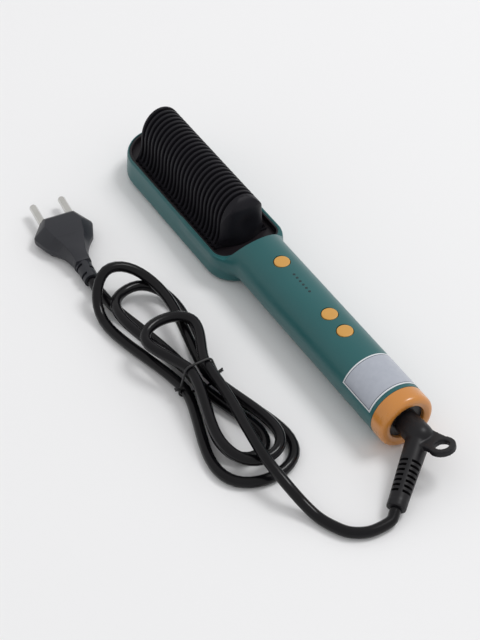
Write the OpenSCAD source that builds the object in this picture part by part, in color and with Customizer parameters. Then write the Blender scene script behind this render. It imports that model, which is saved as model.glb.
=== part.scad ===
// Hot comb: a round handle, a comb head in an open tray, and a corded swivel at the tail.
// The handle's axis lies along X, the head points to +X, and the underside rests on z = 0.
// The origin is the middle of the head's flat underside. Places along X are written as
// distances from the end face of the tail cap, and placed() moves them to the origin.

/* [Handle] */
// Outer diameter of the round handle
handle_d = 35; // [32:0.5:38]
// Wall of both housing shells
wall = 2.2; // [1.8:0.1:2.6]
// Where the handle's round top ends, at its crest over the rear of the tray
arch_x = 155.8; // [150:0.1:158]
// How far the arch leans forward between its crest and the level of the axis
arch_lean = 9.8; // [6:0.1:11]

/* [Head] */
// Width of the head
head_w = 50.4; // [48:0.2:54]
// Height of the head's rim above the table
head_h = 20; // [19.5:0.5:22]
// Distance from the arch's crest to the rear edge of the head
head_start = 7.5; // [6:0.5:9]
// Far end of the head
head_end = 298.5; // [295:0.5:305]
// Radius of the head's lower edge
head_edge_r = 5.5; // [4.5:0.5:6.5]
// Radius of the head's two rear corners in plan
rear_corner_r = 11.2; // [10:0.1:13]
// Height of the rim frame above the parting line
rim_h = 2.5; // [2:0.1:3]
// Height of the thin lip inside the rim
lip_h = 0.6; // [0.3:0.1:1]

/* [End cap] */
// Length of the amber end cap
cap_len = 11; // [9:0.5:14]
// Radius of the opening that the swivel comes out of
cap_bore_r = 11.2; // [10:0.1:12]
// Rounding of the cap's outer edge
cap_edge_r = 2.4; // [1:0.1:3]

/* [Comb guard] */
// Height of the comb's crest above the table
crest_h = 51.5; // [48:0.5:54]
// Half width of the comb at mid height
comb_half_w = 14; // [13:0.25:15]
// How far the fins flare out at the foot
comb_flare = 5.5; // [4:0.5:6]
// Number of fins
fin_count = 24; // [18:1:24]
// Distance from fin to fin
fin_pitch = 4.1; // [3.9:0.05:4.15]
// Thickness of one fin
fin_t = 1.9; // [1.6:0.1:2.2]
// Distance from the arch to the front of the solid end block, where the first gap starts
fin_start = 23.8; // [22:0.1:26]
// Length of the solid end block, and the rounding of its back towards the crest
block_len = 7; // [5:0.5:8]
// How far the end block's foot stands in from its back
block_lean = 2; // [1:0.5:3]
// Radius of the hollows at both sides of the end block
hollow_r = 7; // [6:0.5:8]

/* [Tray and heater] */
// Top of the dark tray round the comb
tray_top = 16; // [15.5:0.5:16.5]
// Thickness of the tray plate
tray_t = 2; // [1.6:0.1:2.4]
// Depth of the heater bar behind the edge of the fins
heater_inset = 5.5; // [5:0.5:7]
// Width of the slot in the heater bar
slot_w = 7; // [6:0.5:8]
// Height of the slot in the heater bar
slot_h = 18; // [14:1:20]
// Thickness of one heating element
ptc_t = 2.4; // [2:0.1:2.8]
// Thickness of an electrode strip
electrode_t = 0.4; // [0.3:0.1:0.5]
// Thickness of one insulating sheet
film_t = 0.3; // [0.2:0.1:0.4]
// Height of the heater bar's foot above the pan's floor
bar_lift = 7.9; // [7.5:0.1:8.2]

/* [Buttons and board] */
// Diameter of a button
button_d = 9.6; // [9:0.1:10]
// Gap round a button
button_gap = 0.3; // [0.25:0.05:0.4]
// How far a button goes in
button_travel = 0.6; // [0.4:0.1:0.7]
// Place of the power button along the handle
power_x = 132; // [129:1:134]
// Place of the plus button
plus_x = 80.5; // [79:0.5:82]
// Place of the minus button
minus_x = 64.5; // [63:0.5:66]
// Place of the first indicator dot
dot_x = 102; // [99:1:103]
// Distance between the indicator dots
dot_pitch = 3.35; // [3:0.05:3.5]
// Number of indicator dots
dot_count = 6; // [4:1:6]
// Radius of an indicator dot
dot_r = 0.8; // [0.6:0.1:0.9]
// Height of the circuit board's top above the handle's axis
board_top = 4.1; // [3.5:0.1:4.5]
// Thickness of the circuit board
board_t = 1.6; // [1.2:0.1:1.8]
// Width of the circuit board
board_w = 23; // [20:1:24]
// Distance of the circuit board's head end from the arch
board_x = 11.8; // [11:0.1:13]
// Length of the circuit board
board_len = 92; // [90:1:96]
// Height of a tact switch body
switch_h = 3.5; // [3:0.1:4]

/* [Label] */
// Tail edge of the label
label_x = 13.5; // [12.5:0.5:16]
// Length of the label along the handle
label_len = 27; // [24:1:30]
// Thickness of the label
label_t = 0.25; // [0.15:0.05:0.3]
// Lower edge of the label, in degrees up from the level of the axis
label_from = 18; // [14:1:22]
// Far edge of the label, in degrees up from the level of the axis
label_to = 142; // [130:1:150]

/* [Swivel] */
// Radius of the swivel's neck
neck_r = 7; // [6.5:0.1:7.5]
// Running clearance round the neck and stem
run_gap = 0.08; // [0.05:0.01:0.1]
// How far the neck stands out of the cap
neck_out = 11; // [10:0.5:13]
// Thickness of the bearing plate
bearing_t = 3; // [2.5:0.5:3.5]
// Depth of the bearing plate behind the cap's face
bearing_in = 3.5; // [3:0.5:4]
// Radius of the flange that keeps the neck in
flange_r = 9.5; // [9:0.1:10.5]
// Thickness of the flange
flange_t = 1.8; // [1.5:0.1:2.2]
// Radius of the stem that carries the slip rings
stem_r = 4.5; // [4:0.1:5]
// Length of the stem behind the flange
stem_len = 17; // [16.5:0.25:17.5]
// Radius of a slip ring
ring_r = 5.6; // [5.2:0.1:6]
// Width of a slip ring
ring_w = 2.6; // [2:0.1:3]

/* [Strain relief and hang loop] */
// Length of the strain relief from the elbow's centre
relief_len = 46; // [42:1:50]
// Radius of the relief at the elbow
relief_r = 6.2; // [5.8:0.1:6.6]
// Radius of the relief at the cord
relief_end_r = 5.3; // [5:0.1:5.6]
// Bend of the relief away from the handle's axis, in degrees
relief_bend = 52; // [45:1:58]
// Dip of the relief's plane below the level, in degrees
relief_dip = 19; // [15:1:20]
// Number of slots on each side of the relief
relief_slots = 7; // [5:1:8]
// Distance between the relief's slots
slot_pitch = 3.1; // [2.8:0.1:3.3]
// Radius of the hang loop's hole
loop_hole_r = 4.1; // [3.5:0.1:4.5]
// Width of the band round the hang loop's hole
loop_band = 3.6; // [3:0.1:4.2]
// Thickness of the hang loop
loop_t = 3.4; // [3:0.1:4]
// Distance from the elbow's centre to the hang loop's hole
loop_out = 17.5; // [16:0.5:19]
// Rise of the hang loop towards its end, in degrees
loop_rise = 17; // [10:1:22]

/* [Cord and plug] */
// Diameter of the cord
cord_d = 6.5; // [6:0.1:6.8]
// Thickness of the twist tie
tie_t = 1; // [0.6:0.1:1]
// Diameter of a plug pin
pin_d = 4.8; // [4.7:0.1:4.9]
// Length of a plug pin outside the body
pin_len = 19; // [18.5:0.1:19.5]
// Distance between the plug pins
pin_gap = 19; // [18.8:0.1:19.2]
// Thickness of the plug body
plug_t = 15; // [14:0.5:16]
// Half width of the plug body at its widest
plug_half_w = 19; // [18:0.5:20]
// Length of the plug body with its neck
plug_len = 58; // [56:1:62]
// Radius of the plug's neck
plug_neck_r = 5.2; // [5:0.1:5.6]

/* [Hidden] */
$fn = 72;

handle_r = handle_d / 2;
inner_r = handle_r - wall;
head_r = head_w / 2;
head_cx = head_end - head_r;
rear_cx = arch_x + head_start + rear_corner_r;
rear_cy = head_r - rear_corner_r;
seam_z = head_h - rim_h;
rim_w = wall + 0.6;
fin_x = arch_x + fin_start;
fins_end = fin_x + fin_count * fin_pitch;
tray_gap = 0.15;
tray_z = tray_top - tray_t;
fit_gap = 0.1;
origin_x = (rear_cx + head_cx) / 2;

board_z1 = handle_r + board_top;
board_under = board_z1 - board_t;
board_x1 = arch_x - board_x;
board_x0 = board_x1 - board_len;

green = "#3a6f6d";
amber = "#c98a3a";
black = "#1c1c1f";

// ---------- shared outlines and helpers ----------

// Moves a piece from distances off the cap's end face to the origin
module placed() {
    translate([-origin_x, 0, 0]) children();
}

// Plan of the head, grown by d: round far end, straight sides, two round rear corners
module head_plan(d = 0) {
    translate([head_cx, 0]) circle(r = head_r + d);
    translate([rear_cx, -head_r - d]) square([head_cx - rear_cx, head_w + 2 * d]);
    for (s = [-1, 1]) translate([rear_cx, s * rear_cy]) circle(r = rear_corner_r + d);
    translate([rear_cx - rear_corner_r - d, -rear_cy]) square([rear_corner_r + d, 2 * rear_cy]);
}

// Half of the head's cross section out to radius r, with its lower edge rounded by e
module edge_profile(r, z0, z1, e) {
    translate([0, z0 + e]) square([r, z1 - z0 - e]);
    translate([0, z0]) square([r - e, e]);
    intersection() {
        translate([r - e, z0 + e]) circle(r = e);
        translate([0, z0]) square([r, e]);
    }
}

// Solid pan of the head, shrunk by d, from z0 to z1 with a rounded lower edge
module head_pan(d, z0, z1, e) {
    translate([head_cx, 0, 0]) rotate_extrude() edge_profile(head_r - d, z0, z1, e);
    for (s = [-1, 1]) translate([rear_cx, s * rear_cy, 0])
        rotate_extrude() edge_profile(rear_corner_r - d, z0, z1, e);
    translate([rear_cx, 0, 0]) rotate([90, 0, 90]) linear_extrude(head_cx - rear_cx) {
        edge_profile(head_r - d, z0, z1, e);
        mirror([1, 0]) edge_profile(head_r - d, z0, z1, e);
    }
    translate([rear_cx, rear_cy, 0]) rotate([90, 0, 0]) linear_extrude(2 * rear_cy)
        mirror([1, 0]) edge_profile(rear_corner_r - d, z0, z1, e);
}

// A rod along X from x0 to x1
module rod_x(x0, x1, r, y = 0, z = handle_r) {
    translate([x0, y, z]) rotate([0, 90, 0]) cylinder(r = r, h = x1 - x0);
}

// A block given by two corners
module block(a, b) {
    translate(a) cube(b - a);
}

// Half width of the comb at height z: a rounded crest on upright flanks with a flared foot
flare_fall = 5.5;
flank_z = 33;
function comb_w(z) = comb_half_w * sqrt(1 - pow(max(0, (z - flank_z) / (crest_h - flank_z)), 2))
    + comb_flare * exp(-(z - tray_top) / flare_fall);
foot_steps = 8;
crest_steps = 12;
comb_foot = [for (i = [0:foot_steps - 1]) tray_top + (flank_z - tray_top) * pow(i / foot_steps, 1.4)];
comb_crest = [for (i = [0:crest_steps]) flank_z + (crest_h - flank_z) * sin(90 * i / crest_steps)];
comb_zs = concat(comb_foot, comb_crest);
crest_fade = comb_flare * exp(-(crest_h - tray_top) / flare_fall);
comb_outline = concat([for (z = comb_zs) [comb_w(z) - crest_fade, z]],
                      [for (i = [len(comb_zs) - 2:-1:0]) [-comb_w(comb_zs[i]) + crest_fade, comb_zs[i]]]);

// An outline in the YZ plane, drawn out along X from x0 to x1
module along_x(x0, x1) {
    translate([x0, 0, 0]) rotate([90, 0, 90]) linear_extrude(x1 - x0) children();
}

// Cross section of the heater bar behind the fins
bar_half_w = comb_half_w - heater_inset;
bar_top = crest_h - heater_inset;
bar_base_w = bar_half_w + 3;
bar_foot = wall + bar_lift;
module bar_section(d = 0) {
    translate([0, bar_top - bar_half_w]) circle(r = bar_half_w + d);
    translate([-bar_half_w - d, bar_foot]) square([2 * bar_half_w + 2 * d, bar_top - bar_half_w - bar_foot]);
    translate([-bar_base_w, bar_foot]) square([2 * bar_base_w, tray_z - fit_gap - bar_foot]);
}
bar_x0 = fin_x + 0.5;
bar_x1 = fins_end - fin_t - 0.5;

// ---------- housings ----------

screw_r = 1.25;
bite = 0.05;
post_r = 3;
seat_z = 6.4;
tray_seat_z = 5;
boss_z = tray_z - 4;
tail_screw_x = cap_len + 19;
head_screw_x = arch_x - 7.8;
handle_screws = [[tail_screw_x, 7], [tail_screw_x, -7], [head_screw_x, 8], [head_screw_x, -8]];
pan_screws = [[rear_cx - 3, rear_cy], [rear_cx - 3, -rear_cy], [head_cx + 16, 9], [head_cx + 16, -9]];
board_posts = [(minus_x + plus_x) / 2, power_x + 6.5];
screw_head_r = 2.5;
screw_head_h = 1.6;

module button_hole(x) {
    translate([x, 0, handle_r]) cylinder(r = button_d / 2 + button_gap, h = handle_r + 1);
}

module dots(r) {
    for (i = [0:dot_count - 1]) translate([dot_x + i * dot_pitch, 0, handle_d - wall - 4])
        cylinder(r = r, h = wall + 6, $fn = 24);
}

// Space in front of the slanted end of the handle's round top, moved back by d
module arch_front(d = 0) {
    rotate([90, 0, 0]) linear_extrude(100, center = true)
        polygon([[arch_x + 2 * arch_lean - d, 0], [arch_x - arch_lean - d, 1.5 * handle_d],
                 [400, 1.5 * handle_d], [400, 0]]);
}

// Upper shell: half tube, slanted bulkhead under the arch and the rim frame of the head
bulkhead_t = 1.2 * wall;
module upper_housing() placed() color(green) difference() {
    union() {
        difference() {
            rod_x(cap_len, rear_cx, handle_r);
            difference() {
                rod_x(cap_len - 1, rear_cx + 1, inner_r);
                arch_front(bulkhead_t);
            }
            block([0, -30, -1], [rear_cx + 1, 30, handle_r]);
            arch_front();
        }
        difference() {
            union() {
                translate([0, 0, seam_z]) linear_extrude(rim_h) head_plan();
                translate([0, 0, head_h - 0.1]) linear_extrude(lip_h + 0.1) head_plan(-1.1);
            }
            translate([0, 0, seam_z - 1]) linear_extrude(rim_h + lip_h + 2) head_plan(-rim_w);
        }
        for (p = handle_screws) translate([p[0], p[1], handle_r])
            cylinder(r = post_r, h = sqrt(inner_r * inner_r - pow(abs(p[1]) + post_r, 2)) + 0.6);
    }
    for (p = handle_screws) translate([p[0], p[1], handle_r - 1]) cylinder(r = screw_r + bite, h = 8);
    for (x = [power_x, plus_x, minus_x]) button_hole(x);
    dots(dot_r + bite);
}

// Lower shell: half tube and the pan of the head, open to each other for the leads
module lower_housing() placed() color(green) difference() {
    union() {
        difference() {
            union() {
                intersection() {
                    rod_x(cap_len, rear_cx, handle_r);
                    block([0, -30, -1], [rear_cx, 30, handle_r]);
                }
                head_pan(0, 0, seam_z, head_edge_r);
            }
            rod_x(cap_len - 1, rear_cx, inner_r);
            head_pan(wall, wall, seam_z + 1, head_edge_r - wall);
        }
        for (p = handle_screws) translate([p[0], p[1], wall]) cylinder(r = post_r + 0.5, h = handle_r - wall);
        for (p = pan_screws) translate([p[0], p[1], wall - 0.3]) cylinder(r = post_r + 0.5, h = boss_z - wall + 0.3);
        for (x = board_posts) translate([x, 0, wall - 0.5]) cylinder(r = post_r, h = board_under - wall + 0.5);
    }
    for (p = handle_screws) screw_hole(p, seat_z, handle_r);
    for (p = pan_screws) screw_hole(p, tray_seat_z, boss_z);
    for (x = board_posts) translate([x, 0, board_under - 8]) cylinder(r = screw_r + bite, h = 9);
}

// Recess for a screw's head and a clear hole for its shank, from below
module screw_hole(p, seat, top) {
    translate([p[0], p[1], -1]) cylinder(r = screw_head_r + 0.2, h = seat + 1);
    translate([p[0], p[1], seat - 1]) cylinder(r = screw_r + 0.3, h = top - seat + 2);
}

// A pan-head screw: head below, shank upwards
module screw_up(x, y, z, len) {
    translate([x, y, z - screw_head_h]) cylinder(r = screw_head_r, h = screw_head_h);
    translate([x, y, z]) cylinder(r = screw_r, h = len);
}

module housing_screws() placed() color("silver")
    for (p = handle_screws) screw_up(p[0], p[1], seat_z, handle_r - seat_z + 6);

module tray_screws() placed() color("silver")
    for (p = pan_screws) screw_up(p[0], p[1], tray_seat_z, boss_z - tray_seat_z + 5);

module board_screws() placed() color("silver") for (x = board_posts) {
    translate([x, 0, board_z1]) cylinder(r = screw_head_r, h = screw_head_h);
    translate([x, 0, board_under - 6]) cylinder(r = screw_r, h = board_t + 6);
}

// Amber ring that closes the tail, with a rounded outer edge and a dished opening
cap_spigot = 4;
cap_in_r = inner_r - fit_gap - 1;
module end_cap() placed() color(amber) translate([0, 0, handle_r]) rotate([90, 0, 90])
    rotate_extrude($fn = 96) difference() {
        union() {
            translate([0, cap_edge_r]) square([handle_r, cap_len - cap_edge_r]);
            square([handle_r - cap_edge_r, cap_len]);
            intersection() {
                translate([handle_r - cap_edge_r, cap_edge_r]) circle(r = cap_edge_r);
                square([handle_r, cap_edge_r]);
            }
            square([inner_r - fit_gap, cap_len + cap_spigot]);
        }
        translate([-1, -1]) square([cap_bore_r + 1, bearing_in + 1.01]);
        polygon([[0, -1], [cap_bore_r + 2.2, -1], [cap_bore_r + 1.3, 0], [cap_bore_r, 1.6], [0, 1.6]]);
        translate([-1, bearing_in]) square([cap_in_r + 1, cap_len + cap_spigot]);
    }

// Sector of a thin sleeve round the handle
module rating_label() placed() color("#b9bfc4")
    intersection() {
        difference() {
            rod_x(label_x, label_x + label_len, handle_r + label_t);
            rod_x(label_x - 1, label_x + label_len + 1, handle_r);
        }
        along_x(label_x, label_x + label_len) polygon(concat([[0, handle_r]],
            [for (i = [0:8]) let (a = label_from + (label_to - label_from) * i / 8)
                [2 * handle_r * cos(a), handle_r + 2 * handle_r * sin(a)]]));
    }

// ---------- comb, tray and heater ----------

// Fins, end block and foot in one moulding, hollow where the heater bar stands
block_x = fin_x - block_len;
hollow_y = comb_half_w + 0.9 * hollow_r;
rail_w = comb_half_w + 4;
module comb_guard() placed() color(black) difference() {
    union() {
        for (i = [1:fin_count]) along_x(fin_x + i * fin_pitch - fin_t, fin_x + i * fin_pitch)
            polygon(comb_outline);
        difference() {
            intersection() {
                along_x(block_x, fin_x) polygon(comb_outline);
                rotate([90, 0, 0]) linear_extrude(100, center = true) hull() {
                    translate([fin_x, crest_h - block_len]) circle(r = block_len);
                    translate([block_x + block_lean, tray_top]) square([block_len, 1]);
                }
            }
            for (s = [-1, 1]) translate([block_x - 1, s * hollow_y, 0]) cylinder(r = hollow_r, h = 80);
        }
        block([fin_x - 1, -rail_w, tray_top], [fins_end, rail_w, tray_top + 1.6]);
    }
    along_x(fin_x, fins_end - fin_t) bar_section(fit_gap);
}

// Dark floor of the head round the comb, with four bosses for its screws
module comb_tray() placed() color("#2a2a2d") difference() {
    union() {
        translate([0, 0, tray_z]) linear_extrude(tray_t) head_plan(-wall - tray_gap);
        for (p = pan_screws) translate([p[0], p[1], boss_z]) cylinder(r = post_r, h = tray_z - boss_z + 0.5);
    }
    block([bar_x0 - 0.3, -bar_half_w - 0.2, 0], [bar_x1 + 0.3, bar_half_w + 0.2, 40]);
    for (p = pan_screws) translate([p[0], p[1], boss_z - 1]) cylinder(r = screw_r + bite, h = 6.4);
}

slot_z = bar_foot + 1.5;

// Coated aluminium bar that the hair touches between the fins
module heater_bar() placed() color("#26262a") difference() {
    along_x(bar_x0, bar_x1) bar_section();
    block([bar_x0 - 1, -slot_w / 2, slot_z], [bar_x1 + 1, slot_w / 2, slot_z + slot_h]);
}

// The stack in the slot, from -Y to +Y: film, strip, element, strip, film, wedge
stack_y = -slot_w / 2;
ptc_y = stack_y + film_t + electrode_t;
strip_ys = [ptc_y - electrode_t, ptc_y + ptc_t];
wedge_y = ptc_y + ptc_t + electrode_t + film_t;
ptc_x0 = bar_x0 + 8;
ptc_len = 20;
ptc_pitch = 24;
ptc_count = 3;
stack_in = 2;
tail_z = slot_z + 0.5;
tail_h = 1.6;
tail_out = 3;

module ptc_elements() placed() color("#d8cfc0") for (i = [0:ptc_count - 1])
    block([ptc_x0 + i * ptc_pitch, ptc_y, slot_z + stack_in],
          [ptc_x0 + i * ptc_pitch + ptc_len, ptc_y + ptc_t, slot_z + slot_h - stack_in]);

module electrode_strips() placed() color("#b87333") for (y = strip_ys) union() {
    block([bar_x0, y, tail_z], [bar_x1 - 4, y + electrode_t, slot_z + slot_h - stack_in]);
    block([bar_x0 - tail_out, y, tail_z], [bar_x0 + 1, y + electrode_t, tail_z + tail_h]);
}

module insulating_film() placed() color("#b5761f") for (y = [stack_y, wedge_y - film_t])
    block([bar_x0, y, slot_z], [bar_x1 - 2, y + film_t, slot_z + slot_h]);

module clamp_wedge() placed() color("silver")
    block([bar_x0, wedge_y, slot_z], [bar_x1 - 2, slot_w / 2, slot_z + slot_h]);

// Heat-proof saddle that carries the bar from the floor of the pan
sensor_x = bar_x0 + 24;
fuse_x = bar_x0 + 40;
saddle_t = 2.5;
module heater_bracket() placed() color("#5b4636") difference() {
    block([bar_x0, -bar_base_w, wall], [bar_x1, bar_base_w, bar_foot]);
    block([bar_x0 + 5, -bar_base_w + saddle_t, wall - 1], [bar_x1 - 5, bar_base_w - saddle_t, bar_foot - saddle_t]);
    translate([sensor_x, 0, bar_foot - 3]) cylinder(r = 2 + fit_gap, h = 4);
}

module temperature_sensor() placed() color("#e8e2d0")
    translate([sensor_x, 0, bar_foot - 4]) cylinder(r = 2, h = 4);

module thermal_fuse() placed() color("#cfd2d6")
    rod_x(fuse_x, fuse_x + 11, 2, 0, bar_foot - saddle_t - 2);

// ---------- buttons, plungers and light pipe ----------

button_top = handle_d + 0.25;
flange_top = handle_r + sqrt(inner_r * inner_r - pow(button_d / 2 + 1.4, 2)) - 0.35;
plunger_out = 1.2;
plunger_top = board_z1 + switch_h + plunger_out;
pipe_z = board_z1 + 2.4;

// A disc with a crowned top, a keeper flange under the shell and a stem to its switch
crown_r = 40;
keeper = 1.2;
module button_at(x) placed() color(amber) translate([x, 0, 0]) union() {
    intersection() {
        translate([0, 0, flange_top - 0.5]) cylinder(r = button_d / 2, h = button_top - flange_top + 0.5);
        translate([0, 0, button_top - crown_r]) sphere(r = crown_r, $fn = 180);
    }
    translate([0, 0, flange_top - 1]) cylinder(r = button_d / 2 + keeper, h = 1);
    translate([0, 0, plunger_top]) cylinder(r = 2, h = flange_top - plunger_top - 0.5);
}
module power_button() button_at(power_x);
module plus_button() button_at(plus_x);
module minus_button() button_at(minus_x);

plunger_r = 1.7;
plunger_in = 1.6;
module plunger_at(x) placed() color("#33353a") translate([x, 0, board_z1 + switch_h - plunger_in])
    cylinder(r = plunger_r, h = plunger_in + plunger_out);
module power_plunger() plunger_at(power_x);
module plus_plunger() plunger_at(plus_x);
module minus_plunger() plunger_at(minus_x);

// Clear pins under the dots, joined by a bar inside the shell
dots_len = (dot_count - 1) * dot_pitch;
module light_pipe() placed() color("#20383a") union() {
    for (i = [0:dot_count - 1]) translate([dot_x + i * dot_pitch, 0, pipe_z])
        cylinder(r = dot_r, h = handle_d + 0.05 - pipe_z, $fn = 24);
    block([dot_x - 2, -1.5, pipe_z], [dot_x + dots_len + 2, 1.5, pipe_z + 2.5]);
}

// ---------- circuit board ----------

module circuit_board() placed() color("#1f6b45") difference() {
    block([board_x0, -board_w / 2, board_under], [board_x1, board_w / 2, board_z1]);
    for (x = board_posts) translate([x, 0, 0]) cylinder(r = screw_r + 0.2, h = 40);
}

switch_half = 3;
module tact_switches() placed() color("#44464b") for (x = [power_x, plus_x, minus_x]) difference() {
    block([x - switch_half, -switch_half, board_z1], [x + switch_half, switch_half, board_z1 + switch_h]);
    translate([x, 0, board_z1 + switch_h - plunger_in - button_travel - 0.2])
        cylinder(r = plunger_r + run_gap, h = 9);
}

module indicator_leds() placed() color("ivory") for (i = [0:dot_count - 1])
    block([dot_x + i * dot_pitch - dot_r, -0.6, board_z1], [dot_x + i * dot_pitch + dot_r, 0.6, pipe_z - 0.3]);

module film_capacitor() placed() color("#d6b23a")
    block([plus_x + 10, -9, board_under - 10], [plus_x + 27, -1, board_under]);

module triac() placed() color("#2b2b2b") union() {
    block([power_x - 20, 1, board_under - 4.5], [power_x - 10, 9, board_under]);
    block([power_x - 10, 1, board_under - 1.5], [power_x - 5, 9, board_under]);
}

module controller_chip() placed() color("#18181a")
    block([plus_x + 8, -3, board_z1], [plus_x + 17, 3, board_z1 + 1.6]);

varistor_x = (minus_x + plus_x) / 2 + 1.5;
module varistor() placed() color("#2d5fa3") union() {
    translate([varistor_x, 4, board_under - 7]) rotate([-90, 0, 0]) cylinder(r = 5, h = 3.5);
    block([varistor_x - 2, 4, board_under - 7], [varistor_x + 2, 7.5, board_under]);
}

// ---------- swivel ----------

bearing_x = bearing_in;
flange_x = bearing_x + bearing_t + run_gap;
stem_x = flange_x + flange_t;
stem_end = stem_x + stem_len;

// Plate in the cap that the neck turns in
module swivel_bearing() placed() color("#2a2a2d") difference() {
    rod_x(bearing_x, bearing_x + bearing_t, cap_in_r - bite);
    rod_x(bearing_x - 1, bearing_x + bearing_t + 1, neck_r + run_gap);
}

// Neck, keeper flange and stem in one turned piece
neck_x = -2;
module swivel_hub() placed() color("#232326") difference() {
    union() {
        rod_x(neck_x, flange_x, neck_r);
        rod_x(flange_x, stem_x, flange_r);
        rod_x(stem_x, stem_end, stem_r);
    }
    rod_x(neck_x - 1, stem_end + 1, 2.2);
}

ring_xs = [stem_end - 9.5, stem_end - 4];
module slip_rings() placed() color("#c9a13b") for (x = ring_xs) difference() {
    rod_x(x, x + ring_w, ring_r);
    rod_x(x - 1, x + ring_w + 1, stem_r);
}

// Insulating cradle under the stem
brush_r = 1;
brush_z = 3.5;
cradle_top = handle_r - ring_r - 2;
module brush_block() placed() color("#e6e1d2") difference() {
    intersection() {
        rod_x(cap_len + cap_spigot + 0.2, stem_end, inner_r);
        block([0, -12, 0], [stem_end + 1, 12, cradle_top]);
    }
    for (x = ring_xs) translate([x + ring_w / 2, 0, brush_z]) cylinder(r = brush_r + bite, h = 20);
}

// Sprung carbon contacts that press up on the rings
module contact_brushes() placed() color("#4a4a4e") for (x = ring_xs) translate([x + ring_w / 2, 0, brush_z])
    cylinder(r = brush_r, h = handle_r - ring_r - run_gap - brush_z);

// ---------- moulded elbow, strain relief and hang loop ----------

elbow_x = -neck_out;
elbow_r = 8.1;
relief_dir = [-cos(relief_bend), sin(relief_bend) * cos(relief_dip), -sin(relief_bend) * sin(relief_dip)];
relief_tip = [elbow_x, 0, handle_r] + relief_len * relief_dir;
loop_yaw = 191;

// Puts a child that runs along +X on the relief's line, from the elbow's centre
module on_relief() {
    translate([elbow_x, 0, handle_r])
        rotate([0, asin(-relief_dir[2]), atan2(relief_dir[1], relief_dir[0])]) children();
}

// Puts a child that runs along +X on the hang loop's line, from the elbow's centre
module on_loop() {
    translate([elbow_x, 0, handle_r]) rotate([0, -loop_rise, loop_yaw]) children();
}

module cord_relief() placed() color(black) difference() {
    tab_r = loop_hole_r + loop_band;
    slot_depth = 2;
    slot_t = 1.5;
    slot_y = relief_end_r + slot_depth;
    last_slot = relief_len - 9;
    union() {
        rod_x(elbow_x, neck_x, neck_r);
        translate([elbow_x, 0, handle_r]) sphere(r = elbow_r);
        on_relief() rotate([0, 90, 0]) cylinder(r1 = relief_r + 0.6, r2 = relief_end_r, h = relief_len);
        on_loop() translate([0, -tab_r + 0.8, -loop_t / 2]) cube([loop_out, 2 * tab_r - 1.6, loop_t]);
        on_loop() translate([loop_out, 0, -loop_t / 2]) cylinder(r = tab_r, h = loop_t);
    }
    on_relief() for (i = [0:relief_slots - 1], s = [-1, 1])
        translate([last_slot - i * slot_pitch, s * slot_y, 0])
            cube([slot_t, 2 * slot_depth + 0.4, 6.4], center = true);
    on_loop() translate([loop_out, 0, -10]) cylinder(r = loop_hole_r, h = 20);
}

// ---------- cord ----------

// Sweeps a ring of n sides along points p, all rings square to the path
function unit(v) = v / norm(v);
function path_dir(p, i) = unit(p[min(i + 1, len(p) - 1)] - p[max(i - 1, 0)]);
function ring_at(p, i, r, n) = let (t = path_dir(p, i), side = unit(cross([0, 0, 1], t)), up = cross(t, side))
    [for (k = [0:n - 1]) p[i] + r * (cos(360 * (k + 0.5) / n) * side + sin(360 * (k + 0.5) / n) * up)];
module tube(p, r, n) {
    last = (len(p) - 1) * n;
    polyhedron(points = [for (i = [0:len(p) - 1]) each ring_at(p, i, r, n)],
        faces = concat([[for (k = [0:n - 1]) k]],
            [for (i = [0:len(p) - 2], k = [0:n - 1]) let (a = i * n + k, b = i * n + (k + 1) % n)
                each [[a, a + n, b], [b, a + n, b + n]]],
            [[for (k = [n - 1:-1:0]) last + k]]));
}

// Smooth curve through hand-chosen points, with m steps on each span
function spline_at(a, b, c, d, t) = 0.5 * (2 * b + (c - a) * t + (2 * a - 5 * b + 4 * c - d) * t * t
    + (3 * b - a - 3 * c + d) * t * t * t);
function spline(p, m) = concat([for (i = [1:len(p) - 3], j = [0:m - 1])
    spline_at(p[i - 1], p[i], p[i + 1], p[i + 2], j / m)], [p[len(p) - 2]]);

cord_r = cord_d / 2;

// A route with straight ends one cord's diameter long, from a along u to b along v
function route(a, u, p, b, v) = concat([a], spline(concat([a, a + cord_d * u], p, [b - cord_d * v, b]), 2), [b]);

// Free stretch from the relief to the hank, as points on the cord's centre line
free_points = [[-44.2, 47, 3.4], [-43, 55.5, 3.3], [-38, 63.5, 3.3], [-30, 68.6, 3.3], [-21, 72.2, 3.6],
               [-11, 75.4, 7]];
hank_in = [6, 79.6, 14.6];
in_dir = unit([9, 1.2, 2.4]);
free_path = route(relief_tip, relief_dir, free_points, hank_in, in_dir);

// The hank: seven runs through the waist, joined by far and near lobes
hank_mid = [96, 78, cord_r];
layer = 7.2;
// Side step and layer of each run where it passes the waist
waist_v = [-5, 5, -5.5, 9, -9, 2.5, 0];
waist_layer = [2.1, 2.1, 1.1, 0.18, 0.18, 1.1, 0.18];
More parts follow.
